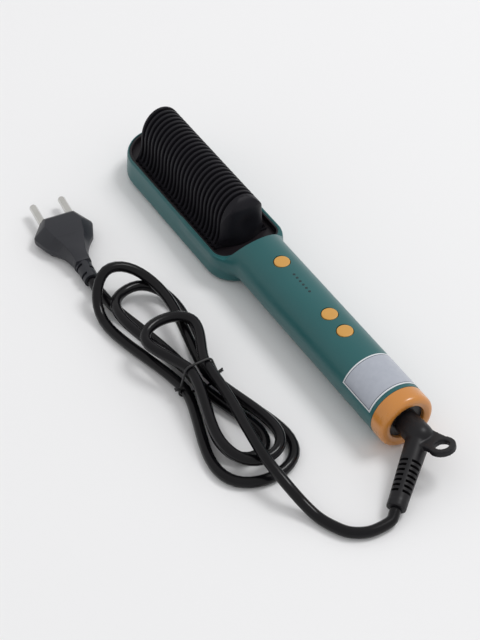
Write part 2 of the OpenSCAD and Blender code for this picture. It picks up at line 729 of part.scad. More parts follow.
// Each lobe: reach along the hank, half width, side shift, layers at 45, 90 and 135 degrees
lobes = [[43, 12.5, 0, 2.25, 2.35, 2.2],
         [-72, 13, -1, 1.4, 1, 1],
         [97, 14, 3, 1.4, 2.4, 0],
         [-80, 17.5, 0, 0, 0, 0],
         [86, 15, 0, 0, 0.9, 1.3],
         [-62, 11.5, -1, 0.3, 0, 0]];
lobe_power = 1.5;
lobe_peak = cos(atan(sqrt(lobe_power))) * pow(sin(atan(sqrt(lobe_power))), lobe_power);
lobe_rings = 12;
function ease(t) = (1 - cos(180 * t)) / 2;
function lobe_layer(i, a) = let (l = [waist_layer[i], lobes[i][3], lobes[i][4], lobes[i][5], waist_layer[i + 1]],
    k = min(floor(a / 45), 3)) l[k] + (l[k + 1] - l[k]) * ease(a / 45 - k);
function lobe_point(i, a) = let (v0 = waist_v[i], v1 = waist_v[i + 1], o = lobes[i])
    hank_mid + [o[0] * sin(a),
        v0 + (v1 - v0) * ease(a / 180) + sign(v0 - v1) * o[1] * cos(a) * pow(sin(a), lobe_power) / lobe_peak
            + o[2] * pow(sin(a), 2),
        lobe_layer(i, a) * layer];
loops = [for (i = [0:len(lobes) - 1], j = [0:lobe_rings - 1]) if (i + j > 0) lobe_point(i, 180 * j / lobe_rings)];

// The first run comes in over the near lobes, and the last one leaves under the far lobes
plug_yaw = -6;
plug_at = [203.5, 90.5, 5.6];
plug_dir = [cos(plug_yaw), sin(plug_yaw), 0];
first_waist = hank_mid + [0, waist_v[0], waist_layer[0] * layer];
last_waist = hank_mid + [0, waist_v[6], waist_layer[6] * layer];
first_run = [[23, 80.6, 17.8], [44, 78, 17.9], [70, 74.6, 18.2], first_waist];
last_run = [[122, 79, cord_r + 0.5], [150, 83.5, cord_r + 0.1], [176, 89, cord_r + 0.4]];
spread_in = route(hank_in, in_dir, first_run, first_waist + [25, 0, 0], [1, 0, 0]);
spread_out = route(last_waist - [25, 0, 0], [1, 0, 0], concat([last_waist], last_run), plug_at, plug_dir);
hank_path = concat([for (q = spread_in) if (q[0] <= first_waist[0]) q], loops,
    [for (q = spread_out) if (q[0] >= last_waist[0]) q]);

function sum(v, i = 0) = i < len(v) ? v[i] + sum(v, i + 1) : 0;
function path_len(p) = sum([for (i = [1:len(p) - 1]) norm(p[i] - p[i - 1])]);

// Least gap of the hank to itself, measured on its own points and two more between each pair
dense = [for (i = [0:len(hank_path) - 2], j = [0:2]) hank_path[i] + (hank_path[i + 1] - hank_path[i]) * j / 3];
apart = 10;
gaps = [for (i = [0:len(dense) - 1 - apart]) min([for (j = [i + apart:len(dense) - 1]) norm(dense[i] - dense[j])])];
hank_gap = min(gaps) - cord_d;
echo(hank_gap = hank_gap, at = [for (i = [0:len(gaps) - 1]) if (gaps[i] - cord_d < 0.5) dense[i]]);
echo(free_length = path_len(free_path), hank_length = path_len(hank_path), rings = len(hank_path));

module power_cord() placed() color(black) tube(free_path, cord_r, 8);

module cord_hank() placed() color(black) tube(hank_path, cord_r, 6);

// Flat wire tie drawn round the waist of the hank, with a tail on each side
tie_w = 2.2;
tie_slack = 0.25;
tie_tail = 6;
module twist_tie() placed() color("#1a1a1a") translate([hank_mid[0], hank_mid[1], 0]) rotate([90, 0, 90]) union() {
    linear_extrude(tie_w, center = true) difference() {
        tie_outline(tie_slack + tie_t);
        tie_outline(tie_slack);
    }
    for (s = [-1, 1]) translate([s * (waist_v[3] + cord_r + tie_slack + 0.3), 8, 0])
        rotate([0, s * 90, 0]) cylinder(r = tie_t, h = tie_tail);
}

module tie_outline(d) {
    hull() for (i = [0:len(waist_v) - 1]) translate([waist_v[i], cord_r + waist_layer[i] * layer])
        circle(r = cord_r + d, $fn = 32);
}

// ---------- plug ----------

plug_face = plug_at + plug_len * plug_dir;
plug_z = plug_t / 2 + 0.1;
neck_len = 20;

// Puts a child with its neck end at the origin, running along +X, where the plug lies
module on_plug() {
    translate([plug_at[0], plug_at[1], 0]) rotate([0, 0, plug_yaw]) children();
}

// Plan: flat face, cut corners and concave flanks that run into the neck
module plug_plan() {
    face_w = 12.2;
    flank = [for (i = [0:8]) let (t = i / 8) [plug_len - 22 - t * (plug_len - 22 - neck_len + 6),
        plug_neck_r + 0.3 + (plug_half_w - 4 - plug_neck_r) * pow(1 - t, 2.2)]];
    side = concat([[plug_len, face_w], [plug_len - 9.5, plug_half_w], [plug_len - 14, plug_half_w]], flank);
    polygon(concat(side, [for (i = [len(side) - 1:-1:0]) [side[i][0], -side[i][1]]]));
}

module plug_body() placed() color("#2b2c2f") on_plug() difference() {
    slot_t = 1.5;
    union() {
        intersection() {
            linear_extrude(plug_t + 1) plug_plan();
            rotate([90, 0, 0]) linear_extrude(80, center = true)
                polygon([[neck_len - 8, 0.4], [plug_len - 4, 0], [plug_len, 3], [plug_len, plug_t - 3],
                         [plug_len - 6, plug_t], [plug_len - 24, plug_t], [neck_len - 8, 10.6]]);
        }
        translate([0, 0, plug_at[2]]) rotate([0, 90, 0])
            cylinder(r1 = plug_neck_r - 0.5, r2 = plug_neck_r, h = neck_len + 4);
    }
    for (i = [0:3]) translate([3.5 + i * 4, (i % 2 == 0 ? 1 : -1) * (plug_neck_r - 0.4), plug_at[2]])
        cube([slot_t, 4, 16], center = true);
    for (s = [-1, 1]) translate([plug_len - pin_root, s * pin_gap / 2, plug_z]) rotate([0, 90, 0])
        cylinder(r = pin_root_r, h = pin_root + 1);
}

// Round-ended pins on thinner roots in the body
pin_root = 9;
pin_root_r = 2;
module plug_pins() placed() color("silver") on_plug() for (s = [-1, 1])
    translate([plug_len, s * pin_gap / 2, plug_z]) rotate([0, 90, 0]) union() {
        translate([0, 0, -pin_root]) cylinder(r = pin_root_r, h = pin_root + 1);
        cylinder(r = pin_d / 2, h = pin_len - pin_d / 2);
        translate([0, 0, pin_len - pin_d / 2]) sphere(r = pin_d / 2);
    }

// ---------- leads inside ----------

lead_r = 0.8;
lead_z = board_under - lead_r;

// From the cradle's contacts to the tail of the board
module mains_leads() placed() color("#7a4a2a") for (s = [-1, 1]) let (y = 3 * lead_r * s)
    tube([[stem_end, y, cradle_top - 2], [stem_end + 2, y, cradle_top - 2], [board_x0 - 12, y, cradle_top],
          [board_x0 - 2, y, lead_z], [board_x0 + 2, y, lead_z]], lead_r, 8);

// From the head end of the board, under the arch and the tray, to the tails of the electrode strips
pass_z = tray_z - 2.4;
end_z = tail_z + tail_h / 2;
module heater_leads() placed() color("#c23b2a")
    for (s = [0, 1]) let (y = strip_ys[s] + electrode_t / 2, w = (8 * s - 4) * lead_r)
        tube([[board_x1 - 3, w, lead_z], [board_x1 + 1, w, lead_z], [arch_x - 5, w, pass_z],
              [arch_x + 3, w, pass_z], [bar_x0 - 12, y, end_z], [bar_x0 - tail_out, y, end_z]], lead_r, 8);

upper_housing();
lower_housing();
end_cap();
rating_label();
comb_guard();
comb_tray();
heater_bar();
ptc_elements();
electrode_strips();
insulating_film();
clamp_wedge();
heater_bracket();
temperature_sensor();
thermal_fuse();
tray_screws();
power_button();
plus_button();
minus_button();
power_plunger();
plus_plunger();
minus_plunger();
light_pipe();
circuit_board();
tact_switches();
indicator_leds();
film_capacitor();
triac();
controller_chip();
varistor();
board_screws();
housing_screws();
swivel_bearing();
swivel_hub();
slip_rings();
brush_block();
contact_brushes();
mains_leads();
heater_leads();
cord_relief();
power_cord();
cord_hank();
twist_tie();
plug_body();
plug_pins();
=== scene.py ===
# %% [markdown]
# # A hot comb, from a imported frame to a finished picture
# The frame holds every solid of the hot comb at its real place and size, in metres. It is loaded
# first and never changed. Everything that this lesson makes is fitted to it.

# %% Load the frame
from math import atan, atan2, asin, cos, exp, pi, radians, sin, sqrt

import bmesh
import bpy
import numpy as np
from mathutils import Matrix, Vector


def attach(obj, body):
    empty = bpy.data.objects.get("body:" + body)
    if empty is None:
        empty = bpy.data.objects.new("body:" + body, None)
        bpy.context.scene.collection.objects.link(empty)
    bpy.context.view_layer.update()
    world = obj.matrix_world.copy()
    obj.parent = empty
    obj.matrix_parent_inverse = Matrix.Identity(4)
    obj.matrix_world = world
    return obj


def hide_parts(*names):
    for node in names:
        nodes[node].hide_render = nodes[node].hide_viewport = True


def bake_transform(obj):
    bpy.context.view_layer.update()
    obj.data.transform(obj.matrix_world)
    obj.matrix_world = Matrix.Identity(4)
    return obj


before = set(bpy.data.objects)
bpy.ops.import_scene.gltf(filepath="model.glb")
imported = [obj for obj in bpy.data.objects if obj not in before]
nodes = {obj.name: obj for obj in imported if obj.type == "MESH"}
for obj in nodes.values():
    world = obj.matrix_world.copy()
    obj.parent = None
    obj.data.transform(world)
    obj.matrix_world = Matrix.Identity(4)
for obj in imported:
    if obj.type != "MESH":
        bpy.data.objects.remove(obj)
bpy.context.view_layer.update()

scene = bpy.context.scene

# %% [markdown]
# All distances below are in millimetres, and those along the handle are counted from the end
# face of the tail cap, as a maker would measure them. One matrix carries a finished mesh into
# the frame, whose origin lies under the middle of the head.

# %% Millimetres from the tail cap to the frame
MM = 0.001
ORIGIN_X = 223.9
TO_FRAME = Matrix.Scale(MM, 4) @ Matrix.Translation((-ORIGIN_X, 0, 0))


def at(x, y, z):
    return TO_FRAME @ Vector((x, y, z))


# %% [markdown]
# ## Camera
# The picture was taken from behind the tail, to its left and high up. A long lens keeps the
# handle's sides nearly parallel. The camera is placed first, because the cords are checked
# against what it sees.

# %% Camera
CAMERA_AT = at(-550.8, 440.3, 786.5)
LOOKS_AT = at(132.9, 28.4, 0)
SENSOR_MM = 36
# Focal length in pixels of the picture, and the picture's longer side in pixels
FOCAL_PX, LONG_SIDE_PX = 1876.5, 640
camera_data = bpy.data.cameras.new("camera")
camera_data.sensor_width = SENSOR_MM
camera_data.lens = SENSOR_MM * FOCAL_PX / LONG_SIDE_PX
camera_data.clip_end = 20
camera = bpy.data.objects.new("camera", camera_data)
camera.location = CAMERA_AT
camera.rotation_euler = (LOOKS_AT - CAMERA_AT).to_track_quat("-Z", "Y").to_euler()
scene.collection.objects.link(camera)
scene.camera = camera
scene.view_settings.view_transform = "Standard"
away = (LOOKS_AT - CAMERA_AT).length
print("camera:", round(camera_data.lens, 1), "mm lens,", round(away, 3), "m away")

# %% [markdown]
# ## Colours and nodes
# A colour is picked as an sRGB hex value, the way a colour card gives it, but the shader works
# with linear light. One function turns one into the other. A second one adds a node with its
# settings and its links, which keeps every material below short enough to read.

# %% Colour and node helpers


def colour(hex_value):
    parts = [int(hex_value[i:i + 2], 16) / 255 for i in (1, 3, 5)]
    return [p / 12.92 if p <= 0.04045 else ((p + 0.055) / 1.055) ** 2.4 for p in parts] + [1]


def add(tree, kind, inputs={}, **settings):
    node = tree.nodes.new(kind)
    for name, value in settings.items():
        setattr(node, name, value)
    for name, value in inputs.items():
        if isinstance(value, bpy.types.NodeSocket):
            tree.links.new(value, node.inputs[name])
        else:
            node.inputs[name].default_value = value
    return node


def per_metre(size_mm):
    """Scale of a noise or Voronoi texture whose spots are size_mm across"""
    return 1 / (size_mm * MM)


# %% [markdown]
# Nearly all of this object is moulded plastic. A mould leaves a fine grain, the pigment clouds
# a little, and handling polishes the surface unevenly. One function gives all three, each with
# its real size in millimetres. Grain under half a millimetre would not show, so it is drawn
# coarser than the real one.

# %% Moulded plastic
COAT_ROUGHNESS = 0.18


def moulded(name, base, cloud, roughness, spread=0.06, grain=0.7, height=0.012, cloud_mm=14,
            coat=0.0, ior=1.5):
    """A plastic; grain, height and cloud_mm are millimetres"""
    material = bpy.data.materials.new(name)
    material.use_nodes = True
    tree = material.node_tree
    shader = tree.nodes["Principled BSDF"]
    place = add(tree, "ShaderNodeTexCoord").outputs["Object"]
    drift = add(tree, "ShaderNodeTexNoise",
                {"Vector": place, "Scale": per_metre(cloud_mm), "Detail": 3})
    tint = add(tree, "ShaderNodeMix", {"Factor": drift.outputs["Fac"]}, data_type="RGBA")
    tint.inputs["A"].default_value = colour(base)
    tint.inputs["B"].default_value = colour(cloud)
    fine = add(tree, "ShaderNodeTexNoise",
               {"Vector": place, "Scale": per_metre(grain), "Detail": 2})
    rub = add(tree, "ShaderNodeMapRange",
              {"Value": drift.outputs["Fac"], "From Min": 0.3, "From Max": 0.7,
               "To Min": roughness - spread, "To Max": roughness + spread})
    bump = add(tree, "ShaderNodeBump",
               {"Height": fine.outputs["Fac"], "Distance": height * MM, "Strength": 1})
    tree.links.new(tint.outputs["Result"], shader.inputs["Base Color"])
    tree.links.new(rub.outputs["Result"], shader.inputs["Roughness"])
    tree.links.new(bump.outputs["Normal"], shader.inputs["Normal"])
    shader.inputs["IOR"].default_value = ior
    if coat:
        shader.inputs["Coat Weight"].default_value = coat
        shader.inputs["Coat Roughness"].default_value = COAT_ROUGHNESS
    return material


# %% [markdown]
# Metal is a bright base colour with full metallic, and what tells one metal from another is the
# way it was worked. Plated pins are nearly a mirror, sheet and wire show fine scratches.

# %% Worked metal
# Width and depth of the scratches, and how far it is from one worn patch to the next
SCRATCH_W, SCRATCH_H, PATCH = 0.4, 0.004, 6


def metal(name, base, worn, roughness):
    """A bare or plated metal with fine scratches"""
    material = moulded(name, base, worn, roughness, 0.05, SCRATCH_W, SCRATCH_H, PATCH)
    shader = material.node_tree.nodes["Principled BSDF"]
    shader.inputs["Metallic"].default_value = 1
    return material


# %% [markdown]
# The finishes of the outside come from the real ones: satin-painted ABS for the shell, glossy
# through-coloured ABS for the amber parts, glass-filled PBT for the comb, which stands the heat,
# and PVC for everything soft at the tail.

# %% Finishes of the outside
PAINTED_ABS = moulded("satin_painted_abs", "#1d5759", "#205d5f", 0.36, 0.03, 0.6, 0.006, 22,
                      ior=1.47)
AMBER_ABS = moulded("glossy_amber_abs", "#c98539", "#c37d33", 0.3, 0.04, 0.8, 0.004, 9, coat=0.4)
BUTTON_ABS = moulded("satin_amber_abs", "#cf9a4b", "#c99445", 0.36, 0.04, 0.6, 0.006, 5)
COMB_PBT = moulded("glass_filled_pbt", "#1b1a1e", "#201f24", 0.44, 0.05, 0.6, 0.01, 8, ior=1.2)
TRAY_PBT = moulded("matt_tray_pbt", "#1b171b", "#231e22", 0.4, 0.05, 0.7, 0.012, 10, ior=1.3)
RELIEF_PVC = moulded("matt_pvc", "#131215", "#19181b", 0.42, 0.06, 0.7, 0.015, 7, ior=1.35)
PLUG_PVC = moulded("satin_plug_pvc", "#232429", "#292a30", 0.42, 0.05, 0.6, 0.012, 9, ior=1.4)
TIE_PVC = moulded("tie_pvc", "#151517", "#1e1e20", 0.35, 0.05, 0.5, 0.01, 3)
PLATED_BRASS = metal("nickel_plated_brass", "#d7d6d2", "#c4c3bf", 0.17)
print("materials so far:", len(bpy.data.materials))

# %% [markdown]
# ## Cord
# A flexible cord keeps its length however it lies. It leaves the strain relief, drops to the
# table and runs into a flat hank of seven runs that cross at a tied waist. The centre line is
# the same as in the frame: a smooth curve through chosen points for the two ends, and a formula
# for each lobe of the hank. A poly curve with a round bevel sweeps it without twisting, and is
# then turned into a mesh.

# %% Where the cord starts
CORD_R = 3.25
RELIEF_LEN = 46
BEND, DIP = radians(52), radians(19)
ELBOW = Vector((-11, 0, 17.5))
RELIEF_DIR = Vector((-cos(BEND), sin(BEND) * cos(DIP), -sin(BEND) * sin(DIP)))
RELIEF_TIP = ELBOW + RELIEF_LEN * RELIEF_DIR
PLUG_AT = Vector((203.5, 90.5, 5.6))
PLUG_YAW = radians(-6)
PLUG_DIR = Vector((cos(PLUG_YAW), sin(PLUG_YAW), 0))

# %% Smooth route through points


def spline(points, steps):
    line = []
    for a, b, c, d in zip(points, points[1:], points[2:], points[3:]):
        for j in range(steps):
            t = j / steps
            line.append(0.5 * (2 * b + (c - a) * t + (2 * a - 5 * b + 4 * c - d) * t * t
                               + (3 * b - a - 3 * c + d) * t ** 3))
    return line + [points[-2]]


def route(start, leaving, points, end, arriving, steps=6):
    """A route whose first and last stretch, one cord's diameter long, are straight"""
    points = [Vector(p) for p in points]
    stub = 2 * CORD_R
    between = [start, start + stub * leaving] + points + [end - stub * arriving, end]
    return [start] + spline(between, steps) + [end]


# %% The seven runs of the hank
HANK_MID = Vector((96, 78, CORD_R))
LAYER = 7.2
WAIST_Y = [-5, 5, -5.5, 9, -9, 2.5, 0]
WAIST_LAYER = [2.1, 2.1, 1.1, 0.18, 0.18, 1.1, 0.18]
# Reach, half width, side shift, and the layers a quarter, half and three quarters of the way
LOBES = [(43, 12.5, 0, 2.25, 2.35, 2.2), (-72, 13, -1, 1.4, 1, 1), (97, 14, 3, 1.4, 2.4, 0),
         (-80, 17.5, 0, 0, 0, 0), (86, 15, 0, 0, 0.9, 1.3), (-62, 11.5, -1, 0.3, 0, 0)]
LOBE_POWER = 1.5
PEAK_AT = atan(sqrt(LOBE_POWER))
LOBE_PEAK = cos(PEAK_AT) * sin(PEAK_AT) ** LOBE_POWER
LOBE_STEPS = 36


def ease(t):
    return (1 - cos(pi * t)) / 2


def lobe_point(i, turn):
    """Point of lobe i, where turn runs from 0 to 1 along it"""
    reach, half, shift, *mids = LOBES[i]
    y0, y1 = WAIST_Y[i], WAIST_Y[i + 1]
    levels = [WAIST_LAYER[i], *mids, WAIST_LAYER[i + 1]]
    k = min(int(turn * 4), 3)
    level = levels[k] + (levels[k + 1] - levels[k]) * ease(turn * 4 - k)
    a = pi * turn
    side = 1 if y0 > y1 else -1
    swing = side * half * cos(a) * max(sin(a), 0) ** LOBE_POWER / LOBE_PEAK
    across = y0 + (y1 - y0) * ease(turn) + swing + shift * sin(a) ** 2
    return HANK_MID + Vector((reach * sin(a), across, level * LAYER))


# %% The whole centre line
HANK_IN = Vector((6, 79.6, 14.6))
IN_DIR = Vector((9, 1.2, 2.4)).normalized()
FREE_POINTS = [(-44.2, 47, 3.4), (-43, 55.5, 3.3), (-38, 63.5, 3.3), (-30, 68.6, 3.3),
               (-21, 72.2, 3.6), (-11, 75.4, 7)]
ALONG = Vector((1, 0, 0))
# The routes are drawn on past the waist by this much, so that they cross it in a straight run
WAIST_RUN = 25
# Points of the line that lie closer than this are dropped
CLOSEST = 0.3
first_waist = HANK_MID + Vector((0, WAIST_Y[0], WAIST_LAYER[0] * LAYER))
last_waist = HANK_MID + Vector((0, WAIST_Y[6], WAIST_LAYER[6] * LAYER))
free_path = route(RELIEF_TIP, RELIEF_DIR, FREE_POINTS, HANK_IN, IN_DIR)
over = route(HANK_IN, IN_DIR, [(23, 80.6, 17.8), (44, 78, 17.9), (70, 74.6, 18.2), first_waist],
             first_waist + WAIST_RUN * ALONG, ALONG)
under = route(last_waist - WAIST_RUN * ALONG, ALONG,
              [last_waist, (122, 79, 3.75), (150, 83.5, 3.35), (176, 89, 3.65)], PLUG_AT, PLUG_DIR)
lobes = [lobe_point(i, j / LOBE_STEPS)
         for i in range(len(LOBES)) for j in range(LOBE_STEPS) if i + j > 0]
cord_line = (free_path[:-1] + [p for p in over if p.x <= first_waist.x] + lobes
             + [p for p in under if p.x >= last_waist.x])
cord_line = [p for i, p in enumerate(cord_line)
             if i == 0 or (p - cord_line[i - 1]).length > CLOSEST]

# %% [markdown]
# Every piece below ends in the same way: its mesh goes into the frame, gets smooth faces with
# crisp corners, a body to ride on, a finish and the solids that it stands for. Modifiers are
# applied at once, so that each piece is plain geometry afterwards.

# %% Finish a piece


def new_piece(bm, name):
    """An object from a bmesh in millimetres, placed in the frame"""
    bmesh.ops.transform(bm, matrix=TO_FRAME, verts=bm.verts)
    mesh = bpy.data.meshes.new(name)
    bm.to_mesh(mesh)
    bm.free()
    piece = bpy.data.objects.new(name, mesh)
    scene.collection.objects.link(piece)
    return piece


def apply_modifiers(piece):
    graph = bpy.context.evaluated_depsgraph_get()
    shaped = bpy.data.meshes.new_from_object(piece.evaluated_get(graph))
    piece.modifiers.clear()
    piece.data = shaped
    shaped.name = piece.name


def soften_edges(piece, width, sharper_than):
    """Bevels the edges that turn by more than so many degrees"""
    edges = piece.modifiers.new("edge", "BEVEL")
    edges.width = width * MM
    edges.segments = 3
    edges.limit_method = "ANGLE"
    edges.angle_limit = radians(sharper_than)
    apply_modifiers(piece)


def melt(piece, voxel, rounds):
    """Remeshes a piece into small even faces and smooths them so many times"""
    net = piece.modifiers.new("net", "REMESH")
    net.mode = "VOXEL"
    net.voxel_size = voxel * MM
    net.use_smooth_shade = True
    if rounds:
        soften = piece.modifiers.new("soften", "SMOOTH")
        soften.factor = 0.5
        soften.iterations = rounds
    apply_modifiers(piece)


def settle(piece, body, material, stands_for=(), crisp=40):
    mesh = piece.data
    mesh.materials.clear()
    mesh.materials.append(material)
    mesh.polygons.foreach_set("use_smooth", [True] * len(mesh.polygons))
    mesh.set_sharp_from_angle(angle=radians(crisp))
    if body:
        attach(piece, body)
    if stands_for:
        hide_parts(*stands_for)
    print(piece.name + ":", len(mesh.polygons), "faces")
    return piece


# %% [markdown]
# PVC cord has a skin that is glossier than the moulded parts, because it was drawn through a
# die. The drawing leaves very faint lines along it, and the hand leaves a few duller patches.

# %% Cord piece
CORD_PVC = moulded("drawn_cord_pvc", "#0b0a0d", "#0f0e11", 0.2, 0.04, 1.2, 0.008, 11, ior=1.3)


def swept(line, radius, name, sides=2, cyclic=False):
    """A round wire along the line, as a mesh; its round has 4 + 4 * sides corners"""
    curve = bpy.data.curves.new(name, "CURVE")
    curve.dimensions = "3D"
    curve.bevel_depth = radius * MM
    curve.bevel_resolution = sides
    curve.use_fill_caps = True
    run = curve.splines.new("POLY")
    run.points.add(len(line) - 1)
    for point, place in zip(run.points, line):
        point.co = (*at(*place), 1)
    run.use_cyclic_u = cyclic
    holder = bpy.data.objects.new(name, curve)
    scene.collection.objects.link(holder)
    graph = bpy.context.evaluated_depsgraph_get()
    mesh = bpy.data.meshes.new_from_object(holder.evaluated_get(graph))
    bpy.data.objects.remove(holder)
    piece = bpy.data.objects.new(name, mesh)
    scene.collection.objects.link(piece)
    return piece


cord = swept(cord_line, CORD_R, "mains_cord", sides=3)
settle(cord, None, CORD_PVC, ("power_cord", "cord_hank"))
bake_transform(cord)

# %% [markdown]
# ## Housing
# The shell is one flowing form: a round handle that swells into a pan with a rounded far end.
# It could be cut together from a cylinder and a box, but then the shoulder would be a hard
# corner. Here a ring of edges is extruded along the handle and spun round the far end, and each
# vertex is then pushed outwards until it meets the form, which is written as a distance: to
# the handle, to the pan, and a soft blend of both that gets wider towards the top.

# %% The form as a distance
HANDLE_R = 17.5
# Half the head's width, the rim's height, and where the head ends
HEAD_W, HEAD_H, HEAD_END = 25.2, 20, 298.5
HEAD_CX = HEAD_END - HEAD_W
# Rounding of the pan's lower edge and of its rim
FOOT_R, BROW_R = 5.5, 1.8
# The pan's walls lean in by this much from its floor to its rim, to leave the mould
DRAFT = 1.1
# The handle's round top ends in a slant: its crest, and how far it runs forward per mm down
ARCH_X, ARCH_LEAN = 155.8, 0.56
# Rear edge of the head and rounding of its rear corners, at the rim and low down
REAR_X, REAR_R = 163.3, 11.2
LOW_REAR_X, LOW_REAR_R = 157.5, 20.5
REAR_CX = REAR_X + REAR_R
# The round form ends inside the pan, where nothing of it shows
HANDLE_ENDS = 200


def smooth_step(t):
    t = np.clip(t, 0, 1)
    return t * t * (3 - 2 * t)


def rounded_corner(a, b, r):
    """Distance to the corner of a <= 0 and b <= 0, rounded by r"""
    a, b = a + r, b + r
    return np.hypot(np.maximum(a, 0), np.maximum(b, 0)) + np.minimum(np.maximum(a, b), 0) - r


# The rear corners change from the low rounding to that of the rim from this height on, over
# this much
LOW_TO_RIM = (4, 14)
# So does the blend of handle and pan: where it starts, over how much it grows, and its most
BLEND_FROM, BLEND_OVER, BLEND_MOST = 2, 14, 12


def plan_distance(x, y, z):
    """Distance to the head's plan, which is rounder at the rear low down"""
    far = np.hypot(x - HEAD_CX, y) - HEAD_W
    low = 1 - smooth_step((z - LOW_TO_RIM[0]) / LOW_TO_RIM[1])
    near = rounded_corner(REAR_X + (LOW_REAR_X - REAR_X) * low - x, abs(y) - HEAD_W,
                          REAR_R + (LOW_REAR_R - REAR_R) * low)
    return np.where(x > HEAD_CX, far, near)


def form_distance(x, y, z):
    """Distance to the outer form: handle and pan with a soft blend between them"""
    handle = np.maximum(np.hypot(y, z - HANDLE_R) - HANDLE_R, x - HANDLE_ENDS)
    plan = plan_distance(x, y, z) + DRAFT * np.clip(z / HEAD_H, 0, 1)
    pan = np.maximum(rounded_corner(plan, -z, FOOT_R), rounded_corner(plan, z - HEAD_H, BROW_R))
    reach = 0.05 + BLEND_MOST * smooth_step((z - BLEND_FROM) / BLEND_OVER)
    h = np.maximum(reach - abs(handle - pan), 0) / reach
    return np.minimum(handle, pan) - h * h * reach / 4


# %% Rings along the handle and a spun far end
RING = 240
SPIN_STEPS = 44
# Rays start at the core's height in the handle, and sink towards the pan between these places
SINK_FROM, SINK_OVER = 146, 26
HALVINGS = 36


def ringed_form(stations, distance, core=HANDLE_R, sink=4):
    """Rings at the stations, the far end spun round, all pushed out to where distance is zero"""
    bm = bmesh.new()
    upright = Matrix.Translation((stations[0], 0, core)) @ Matrix.Rotation(pi / 2, 4, "Y")
    ring = bmesh.ops.create_circle(bm, segments=RING, radius=8, matrix=upright)["verts"]
    edges = list({e for v in ring for e in v.link_edges})
    for here, there in zip(stations, stations[1:]):
        grown = bmesh.ops.extrude_edge_only(bm, edges=edges)["geom"]
        ring = [g for g in grown if isinstance(g, bmesh.types.BMVert)]
        edges = [g for g in grown
                 if isinstance(g, bmesh.types.BMEdge) and all(v in ring for v in g.verts)]
        bmesh.ops.translate(bm, verts=ring, vec=(there - here, 0, 0))
    half = [v for v in ring if v.co.y > -0.01]
    arc = [e for e in edges if all(v in half for v in e.verts)]
    bmesh.ops.spin(bm, geom=half + arc, cent=(stations[-1], 0, 0), axis=(0, 0, 1), angle=-pi,
                   steps=SPIN_STEPS)
    bmesh.ops.remove_doubles(bm, verts=bm.verts, dist=0.001)
    push_out(bm, distance, core, sink)
    return bm


def push_out(bm, distance, core, sink):
    """Moves each vertex along its own ray to the skin, found by halving"""
    co = np.array([v.co for v in bm.verts])
    depth = core - sink * smooth_step((co[:, 0] - SINK_FROM) / SINK_OVER)
    middle = np.column_stack([np.minimum(co[:, 0], HEAD_CX), np.zeros(len(co)), depth])
    start = np.column_stack([middle[:, 0], np.zeros(len(co)), np.full(len(co), core)])
    way = co - start
    way /= np.linalg.norm(way, axis=1)[:, None]
    low, high = np.full(len(co), 0.5), np.full(len(co), 60.0)
    for _ in range(HALVINGS):
        mid = (low + high) / 2
        outside = distance(*(middle + way * mid[:, None]).T) > 0
        high, low = np.where(outside, mid, high), np.where(outside, low, mid)
    for vert, place in zip(bm.verts, middle + way * low[:, None]):
        vert.co = place


def span(a, b, step):
    """Even places from a up to b, without b itself"""
    count = max(1, round((b - a) / step))
    return [a + (b - a) * i / count for i in range(count)]


# %% Outer skin and inner skin
WALL = 2.2
TAIL_X = 11
BULKHEAD_T = 2.64
STATIONS = span(TAIL_X, 140, 3.5) + span(140, 180, 0.5) + span(180, HEAD_CX, 4) + [HEAD_CX]


def inner_distance(x, y, z):
    """A wall's thickness inside the form, and lower behind the slanted bulkhead"""
    roof = np.maximum(2 * HANDLE_R - (x + BULKHEAD_T - ARCH_X) / ARCH_LEAN, HANDLE_R)
    return np.maximum(form_distance(x, y, z) + WALL, z - roof)


def closed(bm):
    """Closes the open tail end with one face and turns all faces outwards"""
    bmesh.ops.holes_fill(bm, edges=[e for e in bm.edges if e.is_boundary], sides=0)
    bmesh.ops.recalc_face_normals(bm, faces=bm.faces)
    return bm


housing = new_piece(closed(ringed_form(STATIONS, form_distance)), "housing")
hollow = new_piece(closed(ringed_form([TAIL_X - 3] + STATIONS, inner_distance, 14.5, 1)), "hollow")
print("housing skin:", len(housing.data.vertices), "vertices")

# %% [markdown]
# Everything that is cut out of the shell is a solid of its own: the room for the tray, the
# space over the rim in front of the handle's arch, the button and lamp holes, and the screw
# recesses underneath. A Boolean modifier takes each one away, as a mould's cores do.

# %% Cutting tool


def cut(piece, tool, operation="DIFFERENCE"):
    """Takes the tool away from the piece, or puts it on, and drops the tool"""
    change = piece.modifiers.new("cut", "BOOLEAN")
    change.operation = operation
    change.solver = "EXACT"
    change.object = tool
    apply_modifiers(piece)
    bpy.data.objects.remove(tool)


def rod(bm, start, end, r1, r2=None, segments=48):
    """A round rod or cone between two points"""
    start, end = Vector(start), Vector(end)
    turn = (end - start).to_track_quat("Z", "Y").to_matrix().to_4x4()
    place = Matrix.Translation((start + end) / 2) @ turn
    bmesh.ops.create_cone(bm, cap_ends=True, segments=segments, radius1=r1,
                          radius2=r1 if r2 is None else r2, depth=(end - start).length,
                          matrix=place)


def block(bm, low, high, place=Matrix()):
    """A box between two corners"""
    low, high = Vector(low), Vector(high)
    size = Matrix.Diagonal((*(high - low), 1))
    middle = Matrix.Translation((low + high) / 2)
    bmesh.ops.create_cube(bm, size=1, matrix=place @ middle @ size)


def drawn(bm, points, vec):
    """A face through the points, drawn out along vec to a solid"""
    face = bm.faces.new([bm.verts.new(p) for p in points])
    grown = bmesh.ops.extrude_face_region(bm, geom=[face], use_keep_orig=True)["geom"]
    moved = [g for g in grown if isinstance(g, bmesh.types.BMVert)]
    bmesh.ops.translate(bm, verts=moved, vec=vec)
    bmesh.ops.recalc_face_normals(bm, faces=bm.faces)
    return bm


# %% Plan of the head


